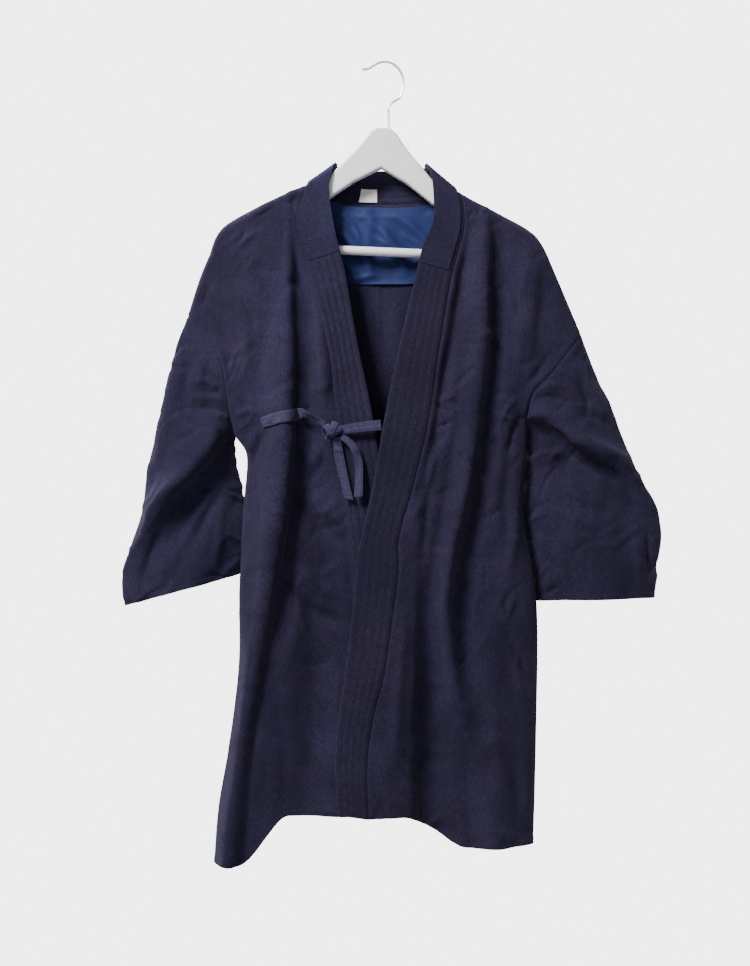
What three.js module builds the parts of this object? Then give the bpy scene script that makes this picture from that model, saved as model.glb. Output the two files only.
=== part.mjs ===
// Short kimono jacket of navy cotton, hung on a white wooden hanger with a wire hook.
// Millimetres. +Z is up, -Y is the side that faces the viewer, and +X is the wearer's left.
// The origin is the inner crown of the hook, where the wire rests on what holds it.
import * as THREE from 'three';

// Cloth
const wall = 2;              // cotton of the body and sleeves
const seamGap = 0.3;         // between two pieces that are sewn together
const layGap = 0.6;          // between a piece and the panel that it lies on
const collarThick = 4.4;     // folded, quilted collar band
const quiltRise = 0.7;       // how far each quilted ridge of the collar stands up
const quiltRidges = 5;
const coverThick = 1.2;      // cloth that covers the collar round the neck
const liningThick = 1;
const labelThick = 0.6;
const tapeThick = 1.4;
const tapeWide = 14;         // flat tape of the ties

// Cells of the grids
const frontColumns = 16;     // collar seam to side seam
const neckColumns = 4;       // centre back to the neck point
const armRows = 12;          // shoulder to armpit
const bodyRows = 24;         // shoulder to hem
const collarColumns = 10;
const sleeveSteps = 12;

// Depths of the hanging body
const armDepth = 12;         // half depth of the armhole
const roundOver = 9;         // radius of the fold over the hanger's arm
const sideSquare = 6;        // how squarely the panels turn in at the side seams

// Hanger
const hangerTilt = THREE.MathUtils.degToRad(2.5);
const hangerThick = 14;
const hangerBevel = 4;
const barDiameter = 12;
const barHalfSpan = 167.7;
const barHeight = -255;
const wireDiameter = 3.2;

// Smooth reading of one column of a table, whose rows go by their "at" column.
function read(table, column, at) {
  const last = table.length - 1;
  if (at <= table[0].at) return table[0][column];
  if (at >= table[last].at) return table[last][column];
  let i = 0;
  while (table[i + 1].at < at) i += 1;
  const [a, b] = [table[i], table[i + 1]];
  const before = table[Math.max(i - 1, 0)];
  const after = table[Math.min(i + 2, last)];
  const span = b.at - a.at;
  const share = (at - a.at) / span;
  const startSlope = ((b[column] - before[column]) / (b.at - before.at)) * span;
  const endSlope = ((after[column] - a[column]) / (after.at - a.at)) * span;
  const s2 = share * share;
  const s3 = s2 * share;
  return (2 * s3 - 3 * s2 + 1) * a[column] + (s3 - 2 * s2 + share) * startSlope
    + (3 * s2 - 2 * s3) * b[column] + (s3 - s2) * endSlope;
}

// A table from rows of numbers and the names of its columns.
const table = (columns, rows) =>
  rows.map((row) => Object.fromEntries(row.map((value, i) => [columns[i], value])));
const mix = (a, b, share) => a + (b - a) * share;
const smooth = (share) => {
  const s = Math.min(Math.max(share, 0), 1);
  return s * s * (3 - 2 * s);
};

// Shoulder fold, from the neck point (0) to the top of the armhole seam (1).
const place = ['at', 'x', 'z'];
const shoulder = {
  right: table(place, [[0, -107, -166], [0.18, -133, -176.5], [0.42, -180, -199.5], [0.6, -216, -220.5],
    [0.69, -229, -237], [0.78, -237, -259], [0.87, -250, -290], [1, -267, -343]]),
  left: table(place, [[0, 94.5, -174], [0.2, 118, -187.5], [0.44, 156, -207], [0.64, 197, -231],
    [0.73, 212, -251], [0.84, 227, -285], [0.92, 242, -320], [1, 262, -367]]),
};

// Collar seam of each front. At 0 it is on the shoulder, at 1 level with the armpit, at 2 on the hem.
const seamColumns = ['at', 'x', 'z', 'depth'];
const collarSeam = {
  right: table(seamColumns, [[0, -107, -166, 10], [0.13, -119, -205, 12], [0.25, -117, -241, 13],
    [0.44, -100, -299, 15], [0.73, -77, -388, 18], [1, -67, -471, 20], [1.15, -54.5, -550, 20],
    [1.37, -38.6, -662, 20], [1.65, -24, -820, 20], [2, -6, -1012, 21]]),
  left: table(seamColumns, [[0, 94.5, -174, 10], [0.07, 102.5, -193, 12], [0.16, 103, -226, 14],
    [0.28, 93.7, -263, 17], [0.38, 85.3, -295, 21], [0.68, 69, -391, 28], [1, 53, -495, 35],
    [1.15, 33, -576, 38], [1.28, 15.5, -640, 40], [1.37, 15, -681, 41], [1.46, 9, -732, 42],
    [1.62, -4, -820, 45], [1.73, -17.5, -872, 46], [1.86, -26, -935, 48], [2, -24, -1008, 50]]),
};

// Armhole seam, then side seam.
const outerSeam = {
  right: table(place, [[0, -267, -343], [0.14, -250, -366], [0.36, -224, -398], [0.7, -214, -450],
    [1, -203, -503], [1.07, -187, -530], [1.2, -192, -605], [1.4, -197, -715], [1.6, -198, -815],
    [1.8, -212, -925], [1.9, -225, -1000], [2, -231, -1076]]),
  left: table(place, [[0, 262, -367], [0.15, 245, -390], [0.35, 222, -420], [0.65, 197, -447],
    [1, 189, -478], [1.05, 188.8, -503], [1.1, 188, -530], [1.25, 184.5, -605], [1.42, 198, -690],
    [1.52, 203, -745], [1.7, 203, -850], [2, 198, -1052]]),
};

// Where the hem starts to drop towards the side, as shares of the panel's width.
const hemDrop = {
  right: { from: 0.55, to: 0.85 },
  left: { from: 0.2, to: 0.6 },
  backRight: { from: 0.6, to: 0.93 },
  backLeft: { from: 0.1, to: 1 },
};

// Free edge of the collar, with the same "at" as its seam.
const edgeColumns = ['at', 'x', 'y', 'z'];
const collarEdge = {
  right: table(edgeColumns, [[0, -66, 0, -136.5], [0.03, -71, -8, -146], [0.08, -77, -12, -168],
    [0.25, -69, -15, -227], [0.44, -55, -18, -283], [0.73, -38, -22, -379], [1, -20, -24, -466],
    [1.15, -7, -24, -542], [1.37, 11, -24, -652], [1.65, 27, -24, -816], [2, 45, -25, -1008]]),
  left: table(edgeColumns, [[0, 52, 0, -137.5], [0.03, 59, -8, -148], [0.08, 63, -12, -172],
    [0.18, 62.5, -17, -217], [0.28, 49, -21, -250], [0.38, 41, -25, -283], [0.68, 20, -33, -373],
    [1, -4, -41, -488], [1.15, -17, -44, -566], [1.28, -31, -46, -629], [1.37, -38.5, -47, -669],
    [1.46, -43, -48, -722], [1.62, -53.5, -49, -812], [1.73, -61, -50, -864], [1.86, -67, -51, -930],
    [2, -64, -52, -1002]]),
};

// Neckline of the back and the edge of the collar above it, from the neck point (0) to the centre (1).
const neckPlaces = ['at', 'x', 'y', 'z', 'edgeX', 'edgeY', 'edgeZ'];
const centreBack = -11;
const neckline = {
  right: table(neckPlaces, [[0, -107, 0, -166, -66, 0, -136.5], [0.25, -95, 13, -171, -65, 12, -138],
    [0.5, -68, 16, -181, -48, 18, -139.5], [0.75, -39, 18, -187, -30, 21, -140.5],
    [1, centreBack, 19, -188, centreBack, 22, -141]]),
  left: table(neckPlaces, [[0, 94.5, 0, -174, 52, 0, -137.5], [0.25, 82, 13, -178, 52, 12, -139],
    [0.5, 53, 16, -185, 37, 18, -140.5], [0.75, 21, 18, -188, 14, 21, -141],
    [1, centreBack, 19, -188, centreBack, 22, -141]]),
};

// Folds. Each row gives the level, where the crest is, how far it stands out (a trough is negative),
// and how far it falls away on the -X side and on the +X side.
const foldColumns = ['at', 'x', 'rise', 'fallLow', 'fallHigh'];
const foldTable = (rows) => table(foldColumns, rows.map(([z, ...rest]) => [-z, ...rest]));
const folds = {
  frontRight: [
    foldTable([[-200, -134, 0, 30, 14], [-260, -134, 7, 30, 16], [-400, -136, 11, 36, 18],
      [-540, -140, 16, 40, 19], [-650, -154, 19, 36, 20], [-780, -174, 22, 32, 20],
      [-880, -192, 28, 34, 22], [-1000, -212, 38, 30, 30], [-1076, -219, 42, 30, 32]]),
    foldTable([[-240, -90, 0, 14, 16], [-310, -89, 6, 14, 18], [-420, -82, 5, 14, 16],
      [-470, -80, 0, 14, 16]]),
    foldTable([[-500, -92, 0, 30, 26], [-560, -90, -5, 34, 28], [-640, -86, -8, 40, 34],
      [-760, -88, -9, 44, 44], [-900, -96, -10, 48, 50], [-1020, -112, -10, 50, 52]]),
  ],
  frontLeft: [
    foldTable([[-205, 126, 0, 16, 22], [-250, 126, 7, 20, 22], [-400, 125, 11, 28, 22],
      [-470, 118, 12, 28, 22], [-548, 109, 13, 28, 22], [-605, 97, 13, 26, 22], [-668, 83, 13, 24, 22],
      [-740, 77, 11, 22, 24], [-810, 83, 9, 22, 28], [-880, 100, 6, 26, 30], [-964, 122, 0, 34, 34]]),
    foldTable([[-690, 52, 0, 18, 22], [-790, 60, -10, 24, 30], [-900, 58, -13, 28, 40],
      [-1030, 62, -14, 32, 46]]),
    foldTable([[-720, 140, 0, 36, 30], [-850, 142, 8, 40, 32], [-960, 148, 13, 44, 30],
      [-1060, 150, 16, 46, 30]]),
    foldTable([[-240, 190, 0, 30, 20], [-330, 186, 5, 30, 24], [-430, 172, 5, 30, 20],
      [-520, 165, 0, 30, 20]]),
  ],
  backRight: [
    foldTable([[-240, -70, 0, 30, 30], [-420, -74, 7, 32, 30], [-700, -84, 11, 38, 34],
      [-1040, -96, 15, 46, 40]]),
    foldTable([[-420, -130, 0, 26, 26], [-620, -136, -8, 32, 30], [-1050, -152, -12, 40, 38]]),
    foldTable([[-560, -168, 0, 20, 20], [-760, -172, 7, 24, 24], [-1050, -186, 10, 26, 28]]),
  ],
  backLeft: [
    foldTable([[-260, 44, 0, 30, 30], [-480, 50, 8, 34, 34], [-760, 60, 10, 38, 40],
      [-1040, 70, 14, 42, 48]]),
    foldTable([[-380, 108, 0, 28, 28], [-640, 112, -8, 34, 32], [-1050, 128, -13, 38, 40]]),
    foldTable([[-520, 154, 0, 22, 20], [-800, 160, 8, 24, 22], [-1050, 166, 9, 26, 24]]),
  ],
};

// Sleeves: the fold along the top and the line under the arm, from the armhole (0) to the cuff (1).
const sleeveColumns = ['at', 'topX', 'topZ', 'underX', 'underZ', 'underY', 'depth'];
const sleeveLines = {
  right: table(sleeveColumns, [[0, -267, -343, -203, -503, 0, 12], [0.14, -283, -384, -206, -517, 3, 15],
    [0.28, -293, -436, -206, -532, 6, 18], [0.42, -308, -494, -202, -552, 11, 20],
    [0.56, -322, -552, -197, -578, 15, 21], [0.7, -329, -606, -191, -607, 17, 21],
    [0.82, -345, -655, -191, -640, 17, 20], [0.92, -356, -698, -193, -668, 17, 19],
    [1, -352, -732, -195, -690, 17, 18]]),
  left: table(sleeveColumns, [[0, 262, -367, 189, -478, 0, 12], [0.14, 279, -412, 191.5, -496, 7, 15],
    [0.28, 299, -460, 188.5, -520, 14, 18], [0.42, 320, -510, 186, -552, 16, 20],
    [0.56, 341, -558, 182, -592, 17, 21], [0.7, 360, -597, 185, -635, 18, 21],
    [0.82, 366, -640, 191, -676, 18, 20], [0.92, 364, -684, 197, -706, 18, 19],
    [1, 360, -721, 200, -727, 18, 18]]),
};

// Folds across the sleeves: the crest as a share of the way from the top fold to the underarm line.
const sleeveFoldColumns = ['at', 'x', 'rise', 'fallLow', 'fallHigh'];
const sleeveFolds = {
  right: [
    table(sleeveFoldColumns, [[0, 1, 0, 0.3, 0.12], [0.1, 0.9, 11, 0.35, 0.12], [0.3, 0.72, 17, 0.4, 0.12],
      [0.5, 0.48, 18, 0.4, 0.13], [0.62, 0.28, 16, 0.35, 0.15], [0.75, 0.1, 9, 0.3, 0.2],
      [0.86, 0, 0, 0.3, 0.2]]),
    table(sleeveFoldColumns, [[0.5, 0.75, 0, 0.15, 0.2], [0.68, 0.5, -6, 0.2, 0.25],
      [0.84, 0.3, -6, 0.2, 0.3], [1, 0.25, -3, 0.2, 0.3]]),
    table(sleeveFoldColumns, [[0.72, 0.72, 0, 0.18, 0.2], [0.86, 0.68, 5, 0.2, 0.2],
      [1, 0.62, 6, 0.2, 0.22]]),
  ],
  left: [
    table(sleeveFoldColumns, [[0, 1, 0, 0.3, 0.12], [0.1, 0.86, 9, 0.35, 0.12], [0.25, 0.66, 13, 0.4, 0.13],
      [0.38, 0.42, 14, 0.4, 0.14], [0.5, 0.18, 12, 0.3, 0.16], [0.62, 0.02, 6, 0.3, 0.2],
      [0.74, 0, 0, 0.3, 0.2]]),
    table(sleeveFoldColumns, [[0.3, 0.86, 0, 0.14, 0.14], [0.45, 0.62, -7, 0.16, 0.24],
      [0.6, 0.34, -8, 0.18, 0.26], [0.74, 0.14, -5, 0.16, 0.26], [0.86, 0.05, 0, 0.16, 0.26]]),
    table(sleeveFoldColumns, [[0.6, 0.85, 0, 0.2, 0.12], [0.8, 0.55, 5, 0.22, 0.2],
      [1, 0.4, 5, 0.24, 0.22]]),
  ],
};
const backSleeveFold = table(sleeveFoldColumns, [[0.1, 0.75, 0, 0.25, 0.2], [0.4, 0.6, 8, 0.3, 0.25],
  [0.7, 0.45, 9, 0.3, 0.3], [1, 0.4, 5, 0.3, 0.3]]);

// How far a set of folds stands out at one place.
function foldRise(set, along, across) {
  let sum = 0;
  for (const fold of set) {
    const offset = across - read(fold, 'x', along);
    const reach = read(fold, offset < 0 ? 'fallLow' : 'fallHigh', along);
    const share = Math.abs(offset) / reach;
    if (share < 1) sum += (read(fold, 'rise', along) * (1 + Math.cos(Math.PI * share))) / 2;
  }
  return sum;
}

// Rows are close together at the shoulder fold and at the armpit.
const armShare = (row) => row / armRows - (0.85 * Math.sin((2 * Math.PI * row) / armRows)) / (2 * Math.PI);
const levelOf = (row) => (row <= armRows ? armShare(row) : 1 + (row - armRows) / (bodyRows - armRows));
const columnShare = (column) => 1 - (1 - column / frontColumns) ** 1.25;
const rounded = (drop) => Math.sqrt(Math.max(0, 1 - Math.max(0, 1 - drop / roundOver) ** 2));
const edgeDepth = (share) => armDepth * Math.sqrt(Math.max(0, Math.sin(Math.PI * share)));

// One point of a body panel. "inner" and "top" read the panel's own inner edge and top edge.
function bodyPoint({ side, inner, top, share, level, hem, depthAt, set, facing }) {
  const outer = outerSeam[side];
  const outerPoint = (at) => ({ x: read(outer, 'x', at), z: read(outer, 'z', at) });
  let x;
  let z;
  if (level <= 1) {
    const [start, end] = [top(share), { x: mix(inner(1).x, outerPoint(1).x, share),
      z: mix(inner(1).z, outerPoint(1).z, share) }];
    const innerPull = (1 - share) ** 2;
    const outerPull = share ** 2;
    for (const axis of ['x', 'z']) {
      const innerOff = inner(level)[axis] - mix(top(0)[axis], inner(1)[axis], level);
      const outerOff = outerPoint(level)[axis] - mix(top(1)[axis], outerPoint(1)[axis], level);
      const value = mix(start[axis], end[axis], level) + innerPull * innerOff + outerPull * outerOff;
      if (axis === 'x') x = value;
      else z = value;
    }
  } else {
    const drop = mix(share, smooth((share - hem.from) / (hem.to - hem.from)), smooth((level - 1) * 1.6));
    x = mix(inner(level).x, outerPoint(level).x, share);
    z = mix(inner(level).z, outerPoint(level).z, drop);
  }
  const over = rounded(top(share).z - z);
  const turn = Math.sqrt(Math.max(0, 1 - share ** sideSquare));
  const edge = level < 1 ? edgeDepth(level) : 0;
  const rise = foldRise(set, -z, x) * over * (1 - share ** 20);
  const depth = edge + (depthAt(share, level) * over - edge) * turn + rise * turn;
  return new THREE.Vector3(x, facing * depth, z);
}

function frontGrid(side, set) {
  const seam = collarSeam[side];
  const inner = (at) => ({ x: read(seam, 'x', at), z: read(seam, 'z', at) });
  const top = (share) => ({ x: read(shoulder[side], 'x', share), z: read(shoulder[side], 'z', share) });
  const sideDepth = (level) => mix(11, 24, smooth(level / 2));
  const depthAt = (share, level) => mix(read(seam, 'depth', level), sideDepth(level), smooth(share * 1.6));
  return makeGrid(bodyRows, frontColumns, (row, column) => bodyPoint({
    side, inner, top, set, depthAt, share: columnShare(column), level: levelOf(row),
    hem: hemDrop[side], facing: -1,
  }));
}

// The back has extra columns for the neckline, before those that meet the front on the shoulder.
const neckShare = 0.36;
function backGrid(side, set) {
  const inner = (at) => ({ x: mix(centreBack, -8, at / 2), z: mix(-188, -1006, at / 2) });
  const innerLevel = (at) => (at <= 1 ? mix(0, 0.7, at) : mix(0.7, 2, at - 1));
  const centre = (at) => inner(innerLevel(at));
  const top = (share) => {
    const line = share < neckShare ? neckline[side] : shoulder[side];
    const at = share < neckShare ? 1 - share / neckShare : (share - neckShare) / (1 - neckShare);
    return { x: read(line, 'x', at), z: read(line, 'z', at) };
  };
  const lowDepth = (level) => mix(17, 22, level / 2);
  const depthAt = (share, level) => mix(lowDepth(level), 15, share);
  const neckDepth = (share) => (share < neckShare ? read(neckline[side], 'y', 1 - share / neckShare) : 0);
  return makeGrid(bodyRows, neckColumns + frontColumns, (row, column) => {
    const share = column < neckColumns ? (neckShare * column) / neckColumns
      : mix(neckShare, 1, columnShare(column - neckColumns));
    const level = levelOf(row);
    const point = bodyPoint({ side, inner: centre, top, set, depthAt, share, level,
      hem: side === 'right' ? hemDrop.backRight : hemDrop.backLeft, facing: 1 });
    const over = rounded(top(share).z - point.z);
    point.y += neckDepth(share) * (1 - over);
    return point;
  });
}

// A sleeve is a ring of points for each step: down its front to the underarm line, and up its back.
function sleeveGrid(side) {
  const lines = sleeveLines[side];
  const cells = 2 * armRows;
  return makeGrid(sleeveSteps, cells, (step, cell) => {
    const front = cell <= armRows;
    const row = front ? cell : cells - cell;
    const share = armShare(row);
    const at = step / sleeveSteps;
    const seamLine = smooth(1 - at * 4);
    const seamX = read(outerSeam[side], 'x', share) - mix(read(outerSeam[side], 'x', 0),
      read(outerSeam[side], 'x', 1), share);
    const seamZ = read(outerSeam[side], 'z', share) - mix(read(outerSeam[side], 'z', 0),
      read(outerSeam[side], 'z', 1), share);
    const x = mix(read(lines, 'topX', at), read(lines, 'underX', at), share) + seamX * seamLine;
    const z = mix(read(lines, 'topZ', at), read(lines, 'underZ', at), share) + seamZ * seamLine;
    const depth = read(lines, 'depth', at) * Math.sqrt(Math.max(0, Math.sin(Math.PI * share)));
    const set = front ? sleeveFolds[side] : [backSleeveFold];
    const rise = foldRise(set, at, share) * Math.sin(Math.PI * share) ** 0.4 * smooth(at * 8);
    const lean = read(lines, 'underY', at) * smooth(share);
    return new THREE.Vector3(x, lean + (front ? -1 : 1) * (depth + rise), z);
  }, true);
}

// The collar takes its seam from the panels that it is sewn to: up the right front, round the neck,
// and down the left front.
function collarGrid(frontRight, backRight, backLeft, frontLeft) {
  const sections = [];
  const edgeAt = (side, at) => new THREE.Vector3(read(collarEdge[side], 'x', at),
    read(collarEdge[side], 'y', at), read(collarEdge[side], 'z', at));
  const neckEdge = (side, at) => new THREE.Vector3(read(neckline[side], 'edgeX', at),
    read(neckline[side], 'edgeY', at), read(neckline[side], 'edgeZ', at));
  for (let row = bodyRows; row >= 0; row -= 1) {
    sections.push({ seam: frontRight.points[row][0], edge: edgeAt('right', levelOf(row)) });
  }
  for (let column = neckColumns - 1; column >= 0; column -= 1) {
    sections.push({ seam: backRight.points[0][column], edge: neckEdge('right', 1 - column / neckColumns) });
  }
  for (let column = 1; column < neckColumns; column += 1) {
    sections.push({ seam: backLeft.points[0][column], edge: neckEdge('left', 1 - column / neckColumns) });
  }
  for (let row = 0; row <= bodyRows; row += 1) {
    sections.push({ seam: frontLeft.points[row][0], edge: edgeAt('left', levelOf(row)) });
  }
  return makeGrid(sections.length - 1, collarColumns, (row, column) =>
    sections[row].seam.clone().lerp(sections[row].edge, column / collarColumns));
}

// A grid of points with a normal at each; a ring's columns close on themselves.
function makeGrid(rows, columns, pointAt, ring = false) {
  const points = [];
  for (let row = 0; row <= rows; row += 1) {
    const line = [];
    for (let column = 0; column <= columns - (ring ? 1 : 0); column += 1) line.push(pointAt(row, column));
    points.push(line);
  }
  const grid = { points, ring, turned: 1 };
  findNormals(grid);
  return grid;
}

function findNormals(grid) {
  const { points, ring } = grid;
  const rows = points.length;
  const columns = points[0].length;
  grid.normals = points.map((line, row) => line.map((point, column) => {
    const left = ring ? line[(column + columns - 1) % columns] : line[Math.max(column - 1, 0)];
    const right = ring ? line[(column + 1) % columns] : line[Math.min(column + 1, columns - 1)];
    const above = points[Math.max(row - 1, 0)][column];
    const below = points[Math.min(row + 1, rows - 1)][column];
    const across = right.clone().sub(left);
    const down = below.clone().sub(above);
    return across.cross(down).normalize().multiplyScalar(grid.turned);
  }));
}

// Turns the normals so that they point out of the garment at one place of the grid.
function turnOut(grid, row, column, outwards) {
  if (grid.normals[row][column].dot(outwards) > 0) return grid;
  grid.turned = -1;
  findNormals(grid);
  return grid;
}

// Where grids share a point, they share its normal too, so that walls meet edge to edge.
function joinSeams(grids) {
  const shared = new Map();
  const visit = (action) => grids.forEach((grid) => grid.points.forEach((line, row) =>
    line.forEach((point, column) => {
      const key = [point.x, point.y, point.z].map((value) => Math.round(value * 20)).join();
      action(key, grid, row, column);
    })));
  visit((key, grid, row, column) => {
    if (!shared.has(key)) shared.set(key, new THREE.Vector3());
    shared.get(key).add(grid.normals[row][column]);
  });
  visit((key, grid, row, column) => {
    grid.normals[row][column] = shared.get(key).clone().normalize();
  });
}

// Draws the named edges of a grid back by half a seam gap.
function drawBack(grid, edges) {
  const rows = grid.points.length - 1;
  const columns = grid.points[0].length - 1;
  const pull = (point, towards) => {
    const step = towards.clone().sub(point);
    return point.clone().add(step.setLength(seamGap / 2));
  };
  const points = grid.points.map((line) => line.slice());
  if (edges.includes('first')) points.forEach((line) => { line[0] = pull(line[0], line[1]); });
  if (edges.includes('last')) {
    points.forEach((line) => { line[columns] = pull(line[columns], line[columns - 1]); });
  }
  if (edges.includes('top')) points[0] = points[0].map((p, i) => pull(p, points[1][i]));
  if (edges.includes('bottom')) points[rows] = points[rows].map((p, i) => pull(p, points[rows - 1][i]));
  return { ...grid, points };
}

// The wall round a grid, as a closed body. "lift" moves it out, "relief" raises its outer face,
// and "thin" narrows it at some columns.
function wallSolid(grid, { thick = wall, lift = 0, relief = () => 0, thin = () => 1 } = {}) {
  const rows = grid.points.length;
  const columns = grid.points[0].length;
  const positions = [];
  const cells = grid.ring ? columns : columns - 1;
  const put = (face) => grid.points.forEach((line, row) => line.forEach((point, column) => {
    const extra = face > 0 ? relief(row, column) : 0;
    const move = lift + (face * thick * thin(column)) / 2 + extra;
    positions.push(...point.clone().addScaledVector(grid.normals[row][column], move).toArray());
  }));
  put(1);
  put(-1);
  const inside = rows * columns;
  const at = (row, column, layer) => layer * inside + row * columns + (column % columns);
  const index = [];
  const quad = (a, b, c, d) => {
    if (grid.turned > 0) index.push(a, b, c, a, c, d);
    else index.push(a, c, b, a, d, c);
  };
  for (let row = 0; row < rows - 1; row += 1) {
    for (let column = 0; column < cells; column += 1) {
      quad(at(row, column, 0), at(row, column + 1, 0), at(row + 1, column + 1, 0), at(row + 1, column, 0));
      quad(at(row, column, 1), at(row + 1, column, 1), at(row + 1, column + 1, 1), at(row, column + 1, 1));
    }
    if (!grid.ring) {
      quad(at(row, 0, 0), at(row + 1, 0, 0), at(row + 1, 0, 1), at(row, 0, 1));
      quad(at(row, cells, 0), at(row, cells, 1), at(row + 1, cells, 1), at(row + 1, cells, 0));
    }
  }
  for (let column = 0; column < cells; column += 1) {
    quad(at(0, column, 0), at(0, column, 1), at(0, column + 1, 1), at(0, column + 1, 0));
    quad(at(rows - 1, column, 0), at(rows - 1, column + 1, 0), at(rows - 1, column + 1, 1),
      at(rows - 1, column, 1));
  }
  const geometry = new THREE.BufferGeometry();
  geometry.setAttribute('position', new THREE.Float32BufferAttribute(positions, 3));
  geometry.setIndex(index);
  geometry.computeVertexNormals();
  return geometry;
}

// A piece of a grid between two rows and two columns, read at even steps between them.
function partOf(grid, { rows, columns, steps, across }) {
  const readAt = (field, row, column) => {
    const [r, c] = [Math.min(Math.floor(row), field.length - 2), Math.min(Math.floor(column),
      field[0].length - 2)];
    const upper = field[r][c].clone().lerp(field[r][c + 1], column - c);
    return upper.lerp(field[r + 1][c].clone().lerp(field[r + 1][c + 1], column - c), row - r);
  };
  const points = [];
  const normals = [];
  for (let i = 0; i <= steps; i += 1) {
    const row = mix(rows[0], rows[1], i / steps);
    const line = Array.from({ length: across + 1 }, (_, j) => mix(columns[0], columns[1], j / across));
    points.push(line.map((column) => readAt(grid.points, row, column)));
    normals.push(line.map((column) => readAt(grid.normals, row, column).normalize()));
  }
  return { points, normals, ring: false, turned: grid.turned };
}

// A flat tape along a short route; each row gives the middle, and which way the tape's width lies.
const tapeColumns = ['at', 'x', 'y', 'z', 'wideX', 'wideY', 'wideZ', 'wide'];
function tapePoints(route, steps) {
  const first = route[0].at;
  const last = route[route.length - 1].at;
  return Array.from({ length: steps + 1 }, (_, step) => {
    const at = mix(first, last, step / steps);
    const value = (column) => read(route, column, at);
    const middle = new THREE.Vector3(value('x'), value('y'), value('z'));
    const across = new THREE.Vector3(value('wideX'), value('wideY'), value('wideZ'));
    across.setLength(value('wide') / 2);
    return [middle.clone().sub(across), middle, middle.clone().add(across)];
  });
}

function tapeGrid(route, steps, outwards) {
  const grid = { points: tapePoints(route, steps), ring: false, turned: 1 };
  findNormals(grid);
  return turnOut(grid, 0, 1, outwards);
}

// Materials
const fabric = (colour, roughness = 0.95) =>
  new THREE.MeshStandardMaterial({ color: colour, roughness, metalness: 0 });
const navy = fabric(0x2e2f52);
const blue = fabric(0x32569c);
const cream = fabric(0xe9e7df);
const whitePaint = fabric(0xdcdfe3, 0.35);
const steel = new THREE.MeshStandardMaterial({ color: 0xa9adb2, roughness: 0.3, metalness: 1 });

const model = new THREE.Group();
function add(name, geometry, material) {
  const mesh = new THREE.Mesh(geometry, material);
  mesh.name = name;
  model.add(mesh);
  return mesh;
}

// Hanger, drawn upright in its own frame and then tilted about the origin
function hangerOutline() {
  const half = [[0, -88.6], [10, -89.2], [19, -96], [30, -112], [39, -122.5], [55, -140], [75, -162],
    [100, -181], [130, -195], [171, -213], [198, -230], [207, -240], [208, -252], [203, -262],
    [194, -266], [176, -266], [168, -263], [168, -248.5], [150, -237.5], [110, -213], [70, -188],
    [36, -163], [0, -143]];
  const shape = new THREE.Shape();
  const rightSide = half.map(([x, z]) => new THREE.Vector2(x, z));
  const leftSide = half.slice(1, -1).reverse().map(([x, z]) => new THREE.Vector2(-x, z));
  shape.setFromPoints([...rightSide, ...leftSide]);
  return shape;
}

function hangerParts() {
  const tilted = new THREE.Group();
  tilted.rotation.y = hangerTilt;
  const body = new THREE.ExtrudeGeometry(hangerOutline(), {
    depth: hangerThick - 2 * hangerBevel, bevelThickness: hangerBevel, bevelSize: hangerBevel * 0.8,
    bevelOffset: -hangerBevel * 0.8, bevelSegments: 3,
  });
  body.translate(0, 0, -hangerThick / 2 + hangerBevel);
  body.rotateX(Math.PI / 2);
  tilted.add(add('hanger_body', body, whitePaint));
  const bar = new THREE.CylinderGeometry(barDiameter / 2, barDiameter / 2, 2 * barHalfSpan, 20);
  bar.rotateZ(Math.PI / 2);
  bar.translate(0, 0, barHeight);
  tilted.add(add('hanger_bar', bar, whitePaint));
  model.add(tilted);
}

// Wire hook, from its foot on the hanger's peak to its tip
function hookParts() {
  const route = [[3.5, -88.7], [3.2, -70], [3.4, -58.5], [9.5, -52.5], [18.5, -46.5], [22.8, -34.5],
    [23, -22], [18.6, -10.5], [10, -1.8], [0, 1.6], [-9, 0.6], [-17.5, -3.8], [-24.5, -8], [-32, -9]];
  const curve = new THREE.CatmullRomCurve3(route.map(([x, z]) => new THREE.Vector3(x, 0, z)));
  const section = new THREE.Shape().absarc(0, 0, wireDiameter / 2, 0, 2 * Math.PI);
  add('hanger_hook', new THREE.ExtrudeGeometry(section, {
    steps: 40, extrudePath: curve, bevelEnabled: false, curveSegments: 5,
  }), steel);
}

// Body, sleeves and collar
const towardsFront = new THREE.Vector3(0, -1, 0);
const towardsBack = new THREE.Vector3(0, 1, 0);
const middleRow = armRows;
const frontRight = turnOut(frontGrid('right', folds.frontRight), middleRow, 6, towardsFront);
const frontLeft = turnOut(frontGrid('left', folds.frontLeft), middleRow, 6, towardsFront);
const backRight = turnOut(backGrid('right', folds.backRight), middleRow, 6, towardsBack);
const backLeft = turnOut(backGrid('left', folds.backLeft), middleRow, 6, towardsBack);
const sleeveRight = turnOut(sleeveGrid('right'), 6, 6, towardsFront);
const sleeveLeft = turnOut(sleeveGrid('left'), 6, 6, towardsFront);
const collar = turnOut(collarGrid(frontRight, backRight, backLeft, frontLeft), 4, 5, towardsFront);
joinSeams([frontRight, frontLeft, backRight, backLeft, sleeveRight, sleeveLeft, collar]);

add('front_right', wallSolid(drawBack(frontRight, ['top', 'first', 'last'])), navy);
add('front_left', wallSolid(drawBack(frontLeft, ['top', 'first', 'last'])), navy);
add('back_right', wallSolid(drawBack(backRight, ['top', 'first', 'last'])), navy);
add('back_left', wallSolid(drawBack(backLeft, ['top', 'first', 'last'])), navy);
add('sleeve_right', wallSolid(drawBack(sleeveRight, ['top'])), navy);
add('sleeve_left', wallSolid(drawBack(sleeveLeft, ['top'])), navy);

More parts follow.
